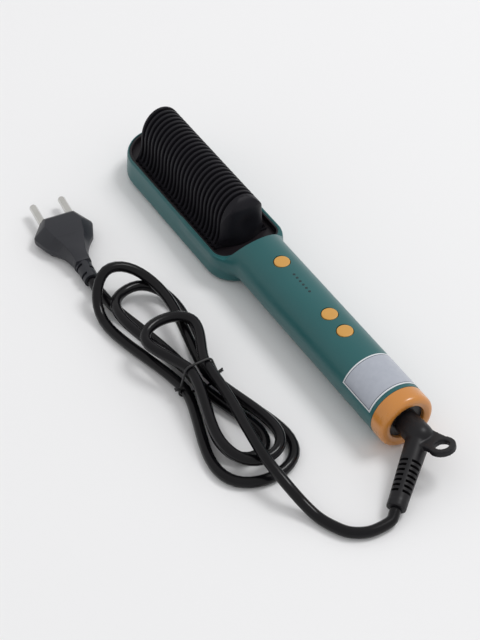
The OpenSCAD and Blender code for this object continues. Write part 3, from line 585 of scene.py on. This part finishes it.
def head_outline(inset, z):
    """Corners of the head's plan, drawn in by inset"""
    corners = []
    rear, far = REAR_R - inset, HEAD_W - inset
    for side, turns in ((-1, range(270, 179, -6)), (1, range(180, 89, -6))):
        for a in turns:
            corners.append((REAR_CX + rear * cos(radians(a)),
                            side * (HEAD_W - REAR_R) + rear * sin(radians(a)), z))
    for a in range(90, -91, -4):
        corners.append((HEAD_CX + far * cos(radians(a)), far * sin(radians(a)), z))
    return corners


print("head's plan:", len(head_outline(0, 0)), "corners")


# %% Cut the shell
RIM_W = 2.8
BUTTONS = {"power": 132, "plus": 80.5, "minus": 64.5}
BUTTON_R, BUTTON_GAP = 4.8, 0.45
LAMPS = [102 + 3.35 * i for i in range(6)]
LAMP_R = 0.86
# Screws under the handle and under the pan; where their posts start and their heads sit
HANDLE_SCREWS = [(30, 7), (30, -7), (148, 8), (148, -8)]
PAN_SCREWS = [(REAR_CX - 3, 14), (REAR_CX - 3, -14), (HEAD_CX + 16, 9), (HEAD_CX + 16, -9)]
POST_R, POST_TOP, RECESS_R = 3.4, 9, 2.7
SCREWS = ((HANDLE_SCREWS, 4.4, 6.4), (PAN_SCREWS, 1, 5))
TRAY_ROOM_Z = 15
# How far the tools reach: past the sides, the far end and the top, and for the holes from
# under the crown to over it, and below the table
BESIDE, BEYOND, ABOVE, UNDER_CROWN, OVER_CROWN, BELOW = 40, 320, 60, 24, 40, -5
cut(housing, hollow)
room = drawn(bmesh.new(), head_outline(RIM_W, TRAY_ROOM_Z), (0, 0, ABOVE))
cut(housing, new_piece(room, "tray_room"))
slant = [(ARCH_X + (2 * HANDLE_R - z) * ARCH_LEAN, -BESIDE, z) for z in (HEAD_H, ABOVE)]
over_rim = slant + [(BEYOND, -BESIDE, ABOVE), (BEYOND, -BESIDE, HEAD_H)]
cut(housing, new_piece(drawn(bmesh.new(), over_rim, (0, 2 * BESIDE, 0)), "over_rim"))
bosses = bmesh.new()
for screws, foot, _ in SCREWS:
    for x, y in screws:
        rod(bosses, (x, y, foot), (x, y, POST_TOP), POST_R)
cut(housing, new_piece(bosses, "bosses"), "UNION")
holes = bmesh.new()
for x in BUTTONS.values():
    rod(holes, (x, 0, UNDER_CROWN), (x, 0, OVER_CROWN), BUTTON_R + BUTTON_GAP, segments=64)
for x in LAMPS:
    rod(holes, (x, 0, UNDER_CROWN), (x, 0, OVER_CROWN), LAMP_R, segments=24)
for screws, _, seat in SCREWS:
    for x, y in screws:
        rod(holes, (x, y, BELOW), (x, y, seat), RECESS_R, segments=32)
cut(housing, new_piece(holes, "holes"))
settle(housing, "handle", PAINTED_ABS, ("upper_housing", "lower_housing"),
       crisp=35)

# %% [markdown]
# Two thin bands follow the rim: a lip of the shell itself, and inside it the tray's own edge,
# which stands up against the wall. Each is the plan of the head twice, the inner one taken out
# of the outer one, with its top edges rounded.

# %% Bands along the rim


def band(name, outer, inner, low, high, rounding):
    """A band between two insets of the head's plan"""
    height = high - low
    ring = new_piece(drawn(bmesh.new(), head_outline(outer, low), (0, 0, height)), name)
    core = drawn(bmesh.new(), head_outline(inner, low - 1), (0, 0, height + 2))
    cut(ring, new_piece(core, "core"))
    soften_edges(ring, rounding, 60)
    return ring


# Insets of the lip's outer side, of the line where lip and tray meet, and of the tray's edge
LIP_OUT, LIP_IN, TRAY_IN = 1.75, 2.3, RIM_W + 1.1
lip = band("rim_lip", LIP_OUT, LIP_IN, HEAD_H - 0.3, HEAD_H + 0.3, 0.15)
settle(lip, "handle", PAINTED_ABS)
tray_edge = band("tray_edge", LIP_IN, TRAY_IN, TRAY_ROOM_Z + 0.6, HEAD_H - 0.1, 0.3)
settle(tray_edge, "handle", TRAY_PBT)

# %% [markdown]
# ## Comb
# The comb's fins all have one outline: a domed crest, upright flanks and a foot that flares
# out. One fin is drawn as a face, extruded to its thickness and bevelled, because it is the
# rounded edges that catch the light. It is then repeated at the real spacing.

# %% Outline of a fin
# Height of the crest, half width of the flanks, and by how much the foot is wider at each side
CREST_H, COMB_W, FLARE = 51.5, 14, 5.5
# Where the dome starts, where the foot stands, and over how much height the flare dies away
FLANK_Z, TRAY_TOP, FLARE_FALL = 33, 16, 5.5
# Start of the first gap, from fin to fin, thickness and number of the fins
FIN_X, FIN_PITCH, FIN_T, FIN_COUNT = 179.6, 4.1, 1.9, 24
FINS_END = FIN_X + FIN_COUNT * FIN_PITCH
FIN_EDGE = 0.4
PLATE_W, PLATE_T = 18, 1.6
FOOT_STEPS, CREST_STEPS = 10, 16


def comb_half(z):
    """Half the comb's width at height z"""
    dome = sqrt(1 - max(0, (z - FLANK_Z) / (CREST_H - FLANK_Z)) ** 2)
    return COMB_W * dome + FLARE * exp((TRAY_TOP - z) / FLARE_FALL) - 0.01


def comb_outline(x):
    """Corners of the comb's cross-section, closer together where it bends more"""
    foot = [TRAY_TOP + (FLANK_Z - TRAY_TOP) * (i / FOOT_STEPS) ** 1.4 for i in range(FOOT_STEPS)]
    crest = [FLANK_Z + (CREST_H - FLANK_Z) * sin(pi / 2 * i / CREST_STEPS)
             for i in range(CREST_STEPS)]
    right = [(x, comb_half(z), z) for z in foot + crest]
    left = [(x, -y, z) for _, y, z in reversed(right)]
    return right + [(x, 0, CREST_H)] + left


print("fin outline:", len(comb_outline(0)), "corners")


# %% Fins
fins_bm = drawn(bmesh.new(), comb_outline(FIN_X + FIN_PITCH - FIN_T), (FIN_T, 0, 0))
rims = [e for e in fins_bm.edges
        if abs(e.verts[0].co.x - e.verts[1].co.x) < 0.01 and e.calc_face_angle() > 1]
bmesh.ops.bevel(fins_bm, geom=rims, affect="EDGES", offset=FIN_EDGE, segments=4, profile=0.5,
                material=-1, clamp_overlap=True)
one_fin = fins_bm.verts[:] + fins_bm.edges[:] + fins_bm.faces[:]
for i in range(1, FIN_COUNT):
    copy = bmesh.ops.duplicate(fins_bm, geom=one_fin)["geom"]
    verts = [g for g in copy if isinstance(g, bmesh.types.BMVert)]
    bmesh.ops.translate(fins_bm, verts=verts, vec=(i * FIN_PITCH, 0, 0))
# All fins stand on one plate
block(fins_bm, (FIN_X - 1, -PLATE_W, TRAY_TOP), (FINS_END, PLATE_W, TRAY_TOP + PLATE_T))
fins = new_piece(fins_bm, "comb_fins")

# %% [markdown]
# The solid block at the tail end of the comb has a rounded crest, a shallow dent in its back,
# and a foot that runs out to a round prow. A voxel remesh turns the plain block into an even net
# of small faces, smoothing that net rounds its edges, and each point is then moved along the
# comb until the block is as deep there as the real one.

# %% End block
# Depth at the crest, which is rounded by as much, and by how much less deep the foot is
BLOCK_LEN, BLOCK_LEAN = 7, 2
BLOCK_MID = CREST_H - BLOCK_LEN
LEAST_DEPTH = 0.3
# Half width of the prow, and the height from which it widens to the comb's width, over how much
PROW_W, PROW_FROM, PROW_OVER = 15.5, 18, 9
# The dent: how deep, where its middle is and how far it reaches, across and up
DENT, DENT_Y, DENT_W, DENT_Z, DENT_H = 2.6, -1, 7, 31, 8
plain = drawn(bmesh.new(), comb_outline(FIN_X - BLOCK_LEN), (BLOCK_LEN, 0, 0))
end_block = new_piece(plain, "comb_block")
melt(end_block, 0.4, 8)


def block_depth(y, z):
    """Depth of the end block behind the first gap"""
    over = np.clip((z - BLOCK_MID) / BLOCK_LEN, 0, 0.96)
    down = np.clip((BLOCK_MID - z) / (BLOCK_MID - TRAY_TOP), 0, 1)
    depth = BLOCK_LEN * np.sqrt(1 - over ** 2) - BLOCK_LEAN * down
    half = COMB_W + FLARE * np.exp((TRAY_TOP - z) / FLARE_FALL)
    prow = np.clip(1 - (y / PROW_W) ** 2, 0, 1)
    wide = np.sqrt(np.clip(1 - (y / half) ** 4, 0, 1))
    round_off = prow + (wide - prow) * smooth_step((z - PROW_FROM) / PROW_OVER)
    dent = DENT * np.exp(-((y - DENT_Y) / DENT_W) ** 2 - ((z - DENT_Z) / DENT_H) ** 2)
    return np.maximum(depth * round_off - dent, LEAST_DEPTH)


points = np.array([v.co for v in end_block.data.vertices]) / MM
back = FIN_X - ORIGIN_X - points[:, 0]
points[:, 0] += back - back / BLOCK_LEN * block_depth(points[:, 1], points[:, 2])
end_block.data.vertices.foreach_set("co", (points * MM).ravel())

# %% Join the comb


def join(target, other):
    """Puts the other piece's mesh into the target's"""
    bm = bmesh.new()
    bm.from_mesh(target.data)
    bm.from_mesh(other.data)
    bm.to_mesh(target.data)
    bm.free()
    bpy.data.objects.remove(other)


join(fins, end_block)
settle(fins, "handle", COMB_PBT, ("comb_guard",), crisp=45)

# %% [markdown]
# ## Turned pieces
# Cap, buttons and pins are round, so each is one line of corners spun about its own axis. The
# corners are rounded before the spin: real edges are never sharp, and it is there that the
# light gathers.

# %% Lathe


def rounded_line(corners, steps=5):
    """A line through corners (along, radius, rounding)"""
    line = []
    for i, (a, r, rounding) in enumerate(corners):
        here = Vector((a, r))
        if not rounding:
            line.append(here)
            continue
        back = (Vector(corners[i - 1][:2]) - here).normalized() * rounding
        ahead = (Vector(corners[i + 1][:2]) - here).normalized() * rounding
        for k in range(steps + 1):
            t = k / steps
            line.append(here + back * (1 - t) ** 2 + ahead * t ** 2)
    return line


def turned(corners, place, steps=72):
    """Spins the corners about the X axis and puts the result in its place"""
    bm = bmesh.new()
    verts = [bm.verts.new((a, 0, r)) for a, r in rounded_line(corners)]
    edges = [bm.edges.new(pair) for pair in zip(verts, verts[1:])]
    bmesh.ops.spin(bm, geom=verts + edges, cent=(0, 0, 0), axis=(1, 0, 0), angle=2 * pi,
                   steps=steps, use_merge=True)
    bmesh.ops.remove_doubles(bm, verts=bm.verts, dist=0.002)
    bmesh.ops.recalc_face_normals(bm, faces=bm.faces)
    bmesh.ops.transform(bm, matrix=place, verts=bm.verts)
    return bm


# %% End cap
# The sleeve inside the handle's end, the outer skin, and the mouth round the swivel's neck
ON_AXIS = Matrix.Translation((0, 0, HANDLE_R))
SLEEVE_END, SLEEVE_IN, SLEEVE_OUT = 14.8, 13.8, 15.1
MOUTH_R, MOUTH_END = 11.2, 3.5
sleeve = [(SLEEVE_END, SLEEVE_IN, 0), (SLEEVE_END, SLEEVE_OUT, 0.3)]
skin = [(TAIL_X + 0.05, SLEEVE_OUT, 0), (TAIL_X + 0.05, HANDLE_R - 0.3, 0),
        (TAIL_X - 0.3, HANDLE_R, 0.25), (0.1, HANDLE_R, 3.4)]
mouth = [(0, 13.6, 0.8), (0.9, MOUTH_R, 0.9), (MOUTH_END, MOUTH_R, 0.2), (MOUTH_END, SLEEVE_IN, 0)]
cap_bm = turned(sleeve + skin + mouth + sleeve[:1], ON_AXIS, 96)
cap = new_piece(cap_bm, "tail_cap")
settle(cap, "handle", AMBER_ABS, ("end_cap",), crisp=50)

# %% Buttons
FLANGE_R, FLANGE_T, STEM_R = 6, 1, 2
# The flange stays this much under the shell's round inside
FLANGE_TOP = HANDLE_R + sqrt((HANDLE_R - WALL) ** 2 - (FLANGE_R + 0.2) ** 2) - 0.35
BUTTON_TOP = 35.25
STEM_FOOT = 26.3
stem = [(STEM_FOOT, 0, 0), (STEM_FOOT, STEM_R, 0.3), (FLANGE_TOP - FLANGE_T, STEM_R, 0)]
flange = [(FLANGE_TOP - FLANGE_T, FLANGE_R, 0.2), (FLANGE_TOP, FLANGE_R, 0.2),
          (FLANGE_TOP, BUTTON_R, 0)]
crown = [(BUTTON_TOP - 0.35, BUTTON_R, 0.4), (BUTTON_TOP - 0.1, 3.2, 1), (BUTTON_TOP, 0, 0)]
for name, x in BUTTONS.items():
    upwards = Matrix.Translation((x, 0, 0)) @ Matrix.Rotation(-pi / 2, 4, "Y")
    button_bm = turned(stem + flange + crown, upwards, 64)
    button = new_piece(button_bm, name + "_cap")
    settle(button, name + "_key", BUTTON_ABS, (name + "_button",), crisp=50)

# %% [markdown]
# ## Strain relief
# Neck, elbow, tapered relief and hang tab are one soft moulding. They are put together as
# overlapping solids, and the voxel remesh melts them into one skin whose inside corners the
# smoothing fills, as the real moulding does. The slots that let it bend are cut afterwards, so
# they stay crisp.

# %% Strain relief
RELIEF_YAW, RELIEF_FALL = atan2(RELIEF_DIR.y, RELIEF_DIR.x), asin(-RELIEF_DIR.z)
LOOP_YAW, LOOP_RISE = radians(191), radians(17)


def from_elbow(yaw, fall):
    """A place whose X axis starts in the elbow and goes out at these angles"""
    return (Matrix.Translation(ELBOW) @ Matrix.Rotation(yaw, 4, "Z")
            @ Matrix.Rotation(fall, 4, "Y"))


ON_RELIEF, ON_LOOP = from_elbow(RELIEF_YAW, RELIEF_FALL), from_elbow(LOOP_YAW, -LOOP_RISE)
# Hang tab: how far out its hole is, radius of hole and of tab, thickness
LOOP_OUT, LOOP_R, TAB_R, TAB_T = 17.5, 4.1, 7.7, 3.6
TAB_W = TAB_R - 0.8
# The neck ends inside the cap; the relief tapers to a short collar at its tip
ELBOW_R, NECK_END_R, NECK_END = 7.9, 7.3, Vector((3.2, 0, HANDLE_R))
RELIEF_R, RELIEF_TIP_R = 6.95, 5.45
COLLAR_LEN, COLLAR_R = 4.2, 5.7
MELT_VOXEL = 0.42


def through_tab(bm, half, r):
    """A rod through the hang tab's hole, so far out at both sides"""
    rod(bm, ON_LOOP @ Vector((LOOP_OUT, 0, -half)), ON_LOOP @ Vector((LOOP_OUT, 0, half)), r)


relief_bm = bmesh.new()
rod(relief_bm, ELBOW, NECK_END, ELBOW_R, NECK_END_R, segments=64)
bmesh.ops.create_uvsphere(relief_bm, u_segments=48, v_segments=32, radius=ELBOW_R,
                          matrix=Matrix.Translation(ELBOW))
rod(relief_bm, ELBOW, ELBOW + RELIEF_DIR * RELIEF_LEN, RELIEF_R, RELIEF_TIP_R, segments=64)
rod(relief_bm, ELBOW + RELIEF_DIR * (RELIEF_LEN - COLLAR_LEN), RELIEF_TIP, COLLAR_R,
    COLLAR_R - 0.1, segments=64)
block(relief_bm, (0, -TAB_W, -TAB_T / 2), (LOOP_OUT, TAB_W, TAB_T / 2), ON_LOOP)
through_tab(relief_bm, TAB_T / 2, TAB_R)
relief = new_piece(relief_bm, "strain_relief")
melt(relief, MELT_VOXEL, 0)
loop_hole = bmesh.new()
through_tab(loop_hole, 9, LOOP_R)
cut(relief, new_piece(loop_hole, "loop_hole"))
melt(relief, MELT_VOXEL, 10)

# %% Slots of the strain relief
SLOTS, SLOT_PITCH, LAST_SLOT, SLOT_W = 7, 3.1, 37, 1.5
# Half the web that is left between the slots of both sides, and half the one round the cord
SIDE_WEB, MID_WEB = 1.1, 1.6
PAST_RELIEF = 9
slots_bm = bmesh.new()
for i in range(SLOTS):
    for side in (-1, 1):
        x = LAST_SLOT - i * SLOT_PITCH
        near, far = x - SLOT_W / 2, x + SLOT_W / 2
        low, high = sorted((side * SIDE_WEB, side * PAST_RELIEF))
        block(slots_bm, (near, low, MID_WEB), (far, high, PAST_RELIEF), ON_RELIEF)
        block(slots_bm, (near, low, -PAST_RELIEF), (far, high, -MID_WEB), ON_RELIEF)
cut(relief, new_piece(slots_bm, "slots"))
settle(relief, "swivel", RELIEF_PVC, ("cord_relief",), crisp=50)

# %% [markdown]
# ## Plug
# The plug's plan has a flat face, cut corners and hollow flanks, and its sides slope in above
# and below the parting line. Its plan is drawn at four levels and bridged. The side view, which
# tapers towards the neck, is a second solid, and what both have in common is the body. A bevel
# takes the edge off every facet.

# %% Plug body
ON_PLUG = Matrix.Translation((PLUG_AT.x, PLUG_AT.y, 0)) @ Matrix.Rotation(PLUG_YAW, 4, "Z")
# Length with its neck, thickness, half width, and the neck's radius and length
PLUG_LEN, PLUG_T, PLUG_W, NECK_R, NECK_LEN = 58, 15, 19, 5.2, 20
# Half width of the face, and where the widest part and the hollow flank start
FACE_W, WIDEST_FROM, WIDEST_TO, FLANK_FROM = 12.2, PLUG_LEN - 9.5, PLUG_LEN - 12, PLUG_LEN - 22
FLANK_STEPS = 10
# Heights of the four levels, and by how much each side is drawn in there
LEVELS = ((-1, 4), (4, 0), (7.5, 0), (PLUG_T + 1, 8.5))
# A side is never drawn in to less than this share of its width
LEAST_SHARE = 0.55
flank = []
for i in range(FLANK_STEPS + 1):
    t = i / FLANK_STEPS
    flank.append((FLANK_FROM - t * (FLANK_FROM - NECK_LEN + 6),
                  NECK_R + 0.3 + (PLUG_W - 4 - NECK_R) * (1 - t) ** 2.2))
half_plan = [(PLUG_LEN, FACE_W), (WIDEST_FROM, PLUG_W), (WIDEST_TO, PLUG_W)] + flank
plug_bm = bmesh.new()
levels = []
for z, narrower in LEVELS:
    right = [(x, max(y - narrower, LEAST_SHARE * y), z) for x, y in half_plan]
    loop = right + [(x, -y, z) for x, y, z in reversed(right)]
    verts = [plug_bm.verts.new(ON_PLUG @ Vector(p)) for p in loop]
    levels.append([plug_bm.edges.new(pair) for pair in zip(verts, verts[1:] + verts[:1])])
for lower, upper in zip(levels, levels[1:]):
    bmesh.ops.bridge_loops(plug_bm, edges=lower + upper)
plug = new_piece(closed(plug_bm), "plug_moulding")
side_view = [(12, 0.4), (PLUG_LEN - 4, 0), (PLUG_LEN, 3), (PLUG_LEN, PLUG_T - 3),
             (PLUG_LEN - 4, PLUG_T), (FLANK_FROM, PLUG_T), (12, 10.6)]
side_bm = drawn(bmesh.new(), [(x, -BESIDE, z) for x, z in side_view], (0, 2 * BESIDE, 0))
bmesh.ops.transform(side_bm, matrix=ON_PLUG, verts=side_bm.verts)
cut(plug, new_piece(side_bm, "side_view"), "INTERSECT")
soften_edges(plug, 0.9, 24)

# %% Neck of the plug
# Slots come in from both sides in turn and leave a web in the middle
NECK_SLOTS, NECK_SLOT_PITCH, NECK_SLOT_W, NECK_WEB, PAST_NECK = 4, 4, 1.7, 1.6, 9
neck_bm = bmesh.new()
neck_start = ON_PLUG @ Vector((0, 0, PLUG_AT.z))
neck_end = ON_PLUG @ Vector((NECK_LEN + 4, 0, PLUG_AT.z))
rod(neck_bm, neck_start, neck_end, NECK_R - 0.4, NECK_R + 0.1)
neck = new_piece(neck_bm, "neck")
neck_slots = bmesh.new()
for i in range(NECK_SLOTS):
    x = 3.5 + i * NECK_SLOT_PITCH
    side = 1 if i % 2 == 0 else -1
    low, high = sorted((side * NECK_WEB, side * PAST_NECK))
    block(neck_slots, (x - NECK_SLOT_W / 2, low, PLUG_AT.z - PAST_NECK),
          (x + NECK_SLOT_W / 2, high, PLUG_AT.z + PAST_NECK), ON_PLUG)
cut(neck, new_piece(neck_slots, "neck_slots"))
join(plug, neck)
settle(plug, "handle", PLUG_PVC, ("plug_body",), crisp=35)

# %% Pins
PIN_Z, PIN_R, PIN_LEN, PIN_GAP, PIN_END_R = 7.6, 2.4, 19, 19, 1.9
# The root inside the body, which is thinner and ends just under its face
ROOT_LEN, ROOT_R, UNDER_FACE = 9, 2, 0.05
pin_line = [(-ROOT_LEN, 0, 0), (-ROOT_LEN, ROOT_R, 0), (-UNDER_FACE, ROOT_R, 0), (0, PIN_R, 0),
            (PIN_LEN, PIN_R, PIN_END_R), (PIN_LEN, 0, 0)]
pins_bm = bmesh.new()
for side in (-1, 1):
    place = ON_PLUG @ Matrix.Translation((PLUG_LEN, side * PIN_GAP / 2, PIN_Z))
    one = turned(pin_line, place, 40)
    mesh = bpy.data.meshes.new("pin")
    one.to_mesh(mesh)
    one.free()
    pins_bm.from_mesh(mesh)
pins = new_piece(pins_bm, "plug_pair_of_pins")
settle(pins, "handle", PLATED_BRASS, ("plug_pins",), crisp=50)

# %% [markdown]
# ## Twist tie
# A tie of coated wire is drawn round the waist of the hank and twisted at both sides. Its
# loop follows the outer runs of cord, and the tails are two strands wound round each other.

# %% Twist tie
TIE_R, STRAND_R = 0.7, 0.55
TIE_OFF = CORD_R + 0.25 + 0.55
# The tails: distance of a strand from the twist's middle, length, height of their foot, turns
TWIST_R, TAIL_LEN, TAIL_Z, TAIL_TURNS = 0.6, 2.6, 7.5, 1.2
TAIL_STEPS = 19
TIE_STEPS = 72
OUTER_RUN = max(WAIST_Y)


def tie_loop():
    """Points round the bundle of runs at the waist, in the plane across the hank"""
    spots = [Vector((y, CORD_R + level * LAYER)) for y, level in zip(WAIST_Y, WAIST_LAYER)]
    middle = sum(spots, Vector((0, 0))) / len(spots)
    line = []
    for i in range(TIE_STEPS):
        way = Vector((cos(2 * pi * i / TIE_STEPS), sin(2 * pi * i / TIE_STEPS)))
        line.append(max((s + way * TIE_OFF for s in spots), key=lambda p: (p - middle).dot(way)))
    return [Vector((HANK_MID.x, HANK_MID.y + p.x, max(p.y, TIE_R + 0.05))) for p in line]


tie = swept(tie_loop(), TIE_R, "wire_tie", cyclic=True)
for side in (-1, 1):
    for phase in (0, pi):
        strand = []
        for i in range(TAIL_STEPS + 1):
            t = i / TAIL_STEPS
            a = phase + 2 * TAIL_TURNS * t * pi
            strand.append(Vector((HANK_MID.x + TWIST_R * cos(a),
                                  HANK_MID.y + side * (OUTER_RUN + TIE_OFF + TAIL_LEN * t),
                                  TAIL_Z + TWIST_R * sin(a) + t)))
        join(tie, swept(strand, STRAND_R, "tail"))
settle(tie, "handle", TIE_PVC, ("twist_tie",), crisp=50)

# %% [markdown]
# ## Label
# The rating label is printed film. It is left without print: a pale margin and one thin dark
# line inside it. The solid of the frame has the right shape, so it stays and only gets its
# finish. The line is found from the place along the handle and the angle round it.

# %% Printed film
# Where the label starts and ends along the handle, and round it
LABEL_X, LABEL_TURN = (13.5, 40.5), (18, 142)
# Width of the pale margin, and half the width of the line at its inner side
MARGIN, HALF_LINE = 1.15, 0.2


def film_material():
    material = bpy.data.materials.new("printed_polyester_film")
    material.use_nodes = True
    tree = material.node_tree
    shader = tree.nodes["Principled BSDF"]
    place = add(tree, "ShaderNodeTexCoord").outputs["Object"]
    axes = add(tree, "ShaderNodeSeparateXYZ", {"Vector": place}).outputs

    def reckon(operation, *values):
        """One step of arithmetic on sockets or numbers"""
        return add(tree, "ShaderNodeMath", dict(enumerate(values)), operation=operation).outputs[0]

    # Angle round the axis, made a distance on the handle's skin by its radius
    height = reckon("SUBTRACT", axes["Z"], HANDLE_R * MM)
    turn = reckon("ARCTAN2", height, axes["Y"])
    around = reckon("MULTIPLY", turn, HANDLE_R * MM)

    def from_edge(value, low, high):
        """Distance to the nearer of two edges"""
        off = reckon("ABSOLUTE", reckon("SUBTRACT", value, (low + high) / 2))
        return reckon("SUBTRACT", (high - low) / 2, off)

    edge_x = from_edge(axes["X"], *((x - ORIGIN_X) * MM for x in LABEL_X))
    edge_y = from_edge(around, *(radians(a) * HANDLE_R * MM for a in LABEL_TURN))
    inside = reckon("SUBTRACT", reckon("MINIMUM", edge_x, edge_y), MARGIN * MM)
    is_line = reckon("LESS_THAN", reckon("ABSOLUTE", inside), HALF_LINE * MM)
    is_margin = reckon("LESS_THAN", inside, 0.0)
    fleck = add(tree, "ShaderNodeTexNoise", {"Vector": place, "Scale": per_metre(3), "Detail": 4})
    ground = add(tree, "ShaderNodeMix", {"Factor": fleck.outputs["Fac"]}, data_type="RGBA")
    ground.inputs["A"].default_value = colour("#a5aab5")
    ground.inputs["B"].default_value = colour("#b3b7c1")
    edged = add(tree, "ShaderNodeMix", {"Factor": is_margin, "A": ground.outputs["Result"]},
                data_type="RGBA")
    edged.inputs["B"].default_value = colour("#d9dce0")
    lined = add(tree, "ShaderNodeMix", {"Factor": is_line, "A": edged.outputs["Result"]},
                data_type="RGBA")
    lined.inputs["B"].default_value = colour("#3b4654")
    tree.links.new(lined.outputs["Result"], shader.inputs["Base Color"])
    shader.inputs["Roughness"].default_value = 0.32
    shader.inputs["Metallic"].default_value = 0.15
    return material


FILM = film_material()
print("label film:", len(FILM.node_tree.nodes), "nodes")

# %% [markdown]
# ## Everything that stays as it is
# The works inside and the plain parts outside already have their true shape, so they only get
# a finish. The table names one for every solid that no piece stands for.

# %% Finishes of the kept solids
PLATED_STEEL = metal("zinc_plated_steel", "#b9bbbd", "#a3a6a9", 0.32)
COPPER = metal("rolled_copper_strip", "#b87350", "#a3623f", 0.35)
CARE = {
    "rating_label": FILM,
    "comb_tray": TRAY_PBT,
    "heater_bar": moulded("ceramic_coated_aluminium", "#202024", "#29292d", 0.34, 0.05, 0.5,
                          0.01, 6),
    "ptc_elements": moulded("ptc_ceramic", "#cfc6b6", "#bdb4a4", 0.7, 0.05, 0.5, 0.02, 3),
    "electrode_strips": COPPER,
    "insulating_film": moulded("polyimide_film", "#b5761f", "#a66a18", 0.3, 0.05, 0.8, 0.004, 5),
    "clamp_wedge": metal("drawn_aluminium", "#c3c5c8", "#aeb1b4", 0.4),
    "heater_bracket": moulded("phenolic_resin", "#5b4636", "#4d3a2c", 0.55, 0.05, 0.6, 0.02, 5),
    "temperature_sensor": moulded("glazed_bead", "#e8e2d0", "#dbd4c0", 0.3, 0.05, 0.6, 0.004, 3),
    "thermal_fuse": PLATED_STEEL,
    "tray_screws": PLATED_STEEL,
    "board_screws": PLATED_STEEL,
    "housing_screws": PLATED_STEEL,
    "light_pipe": moulded("smoked_acrylic", "#14292b", "#1a3134", 0.16, 0.03, 0.8, 0.002, 4),
    "circuit_board": moulded("solder_mask_on_fibreglass", "#1f6b45", "#195c3a", 0.4, 0.05, 1.2,
                             0.01, 6),
    "tact_switches": moulded("switch_nylon", "#44464b", "#3a3c40", 0.5, 0.05, 0.6, 0.01, 3),
    "indicator_leds": moulded("led_epoxy", "#ece7d8", "#ddd7c6", 0.25, 0.05, 0.6, 0.003, 2),
    "film_capacitor": moulded("capacitor_box", "#d6b23a", "#c7a32e", 0.4, 0.05, 0.7, 0.008, 5),
    "triac": moulded("epoxy_package", "#2b2b2d", "#232325", 0.5, 0.05, 0.5, 0.015, 3),
    "controller_chip": moulded("chip_epoxy", "#18181a", "#212124", 0.48, 0.05, 0.4, 0.012, 2),
    "varistor": moulded("dipped_varistor", "#2d5fa3", "#27548f", 0.38, 0.05, 0.8, 0.01, 4),
    "swivel_bearing": moulded("bearing_acetal", "#1c1c1f", "#242427", 0.42, 0.05, 0.6, 0.01, 5),
    "swivel_hub": moulded("hub_nylon", "#1e1e21", "#262629", 0.42, 0.05, 0.6, 0.01, 5),
    "slip_rings": metal("brass_rings", "#c9a13b", "#b58f30", 0.28),
    "brush_block": moulded("cradle_nylon", "#e6e1d2", "#d9d3c2", 0.5, 0.05, 0.6, 0.01, 4),
    "contact_brushes": moulded("pressed_carbon", "#3c3c40", "#48484c", 0.6, 0.05, 0.4, 0.02, 2),
    "mains_leads": moulded("lead_silicone", "#7a4a2a", "#6c4022", 0.5, 0.05, 0.6, 0.006, 4),
    "heater_leads": moulded("lead_glass_braid", "#c23b2a", "#ad3223", 0.6, 0.05, 0.5, 0.03, 3),
}
PLUNGER = moulded("plunger_nylon", "#33353a", "#3d3f44", 0.45, 0.05, 0.5, 0.008, 2)
for name in BUTTONS:
    CARE[name + "_plunger"] = PLUNGER
for name, material in CARE.items():
    mesh = nodes[name].data
    mesh.materials.clear()
    mesh.materials.append(material)
print("finished solids:", len(CARE))

# %% [markdown]
# ## Floor and light
# The picture has a plain pale ground and soft daylight from the far side, with a gentle shadow
# towards the camera. A large flat floor takes the shadow, an even bright world gives most of the
# light, and one wide lamp, high and far off on the far side, shapes the round handle.

# %% Floor
FLOOR_HALF = 2600
floor_bm = bmesh.new()
bmesh.ops.create_grid(floor_bm, x_segments=8, y_segments=8, size=FLOOR_HALF)
floor = new_piece(floor_bm, "floor")
paper = moulded("studio_paper", "#efeff0", "#eeeeef", 0.9, 0.02, 4, 0.0, 300)
floor.data.materials.append(paper)
print("floor:", 2 * FLOOR_HALF * MM, "m wide")

# %% Lamp and world
LAMP_AT = Vector((-0.3, -1.7, 2.9))
LAMP_WIDE, LAMP_WATTS = 1.2, 39
SKY_STRENGTH = 0.73
light = bpy.data.lights.new("key", "AREA")
light.shape = "DISK"
light.size = LAMP_WIDE
light.energy = LAMP_WATTS
key = bpy.data.objects.new("key", light)
key.location = LAMP_AT
key.rotation_euler = (-LAMP_AT).to_track_quat("-Z", "Y").to_euler()
scene.collection.objects.link(key)
world = bpy.data.worlds.new("even_sky")
scene.world = world
world.use_nodes = True
sky = world.node_tree.nodes["Background"]
sky.inputs["Color"].default_value = colour("#ffffff")
sky.inputs["Strength"].default_value = SKY_STRENGTH
print("light:", LAMP_WATTS, "W lamp, sky at", SKY_STRENGTH)
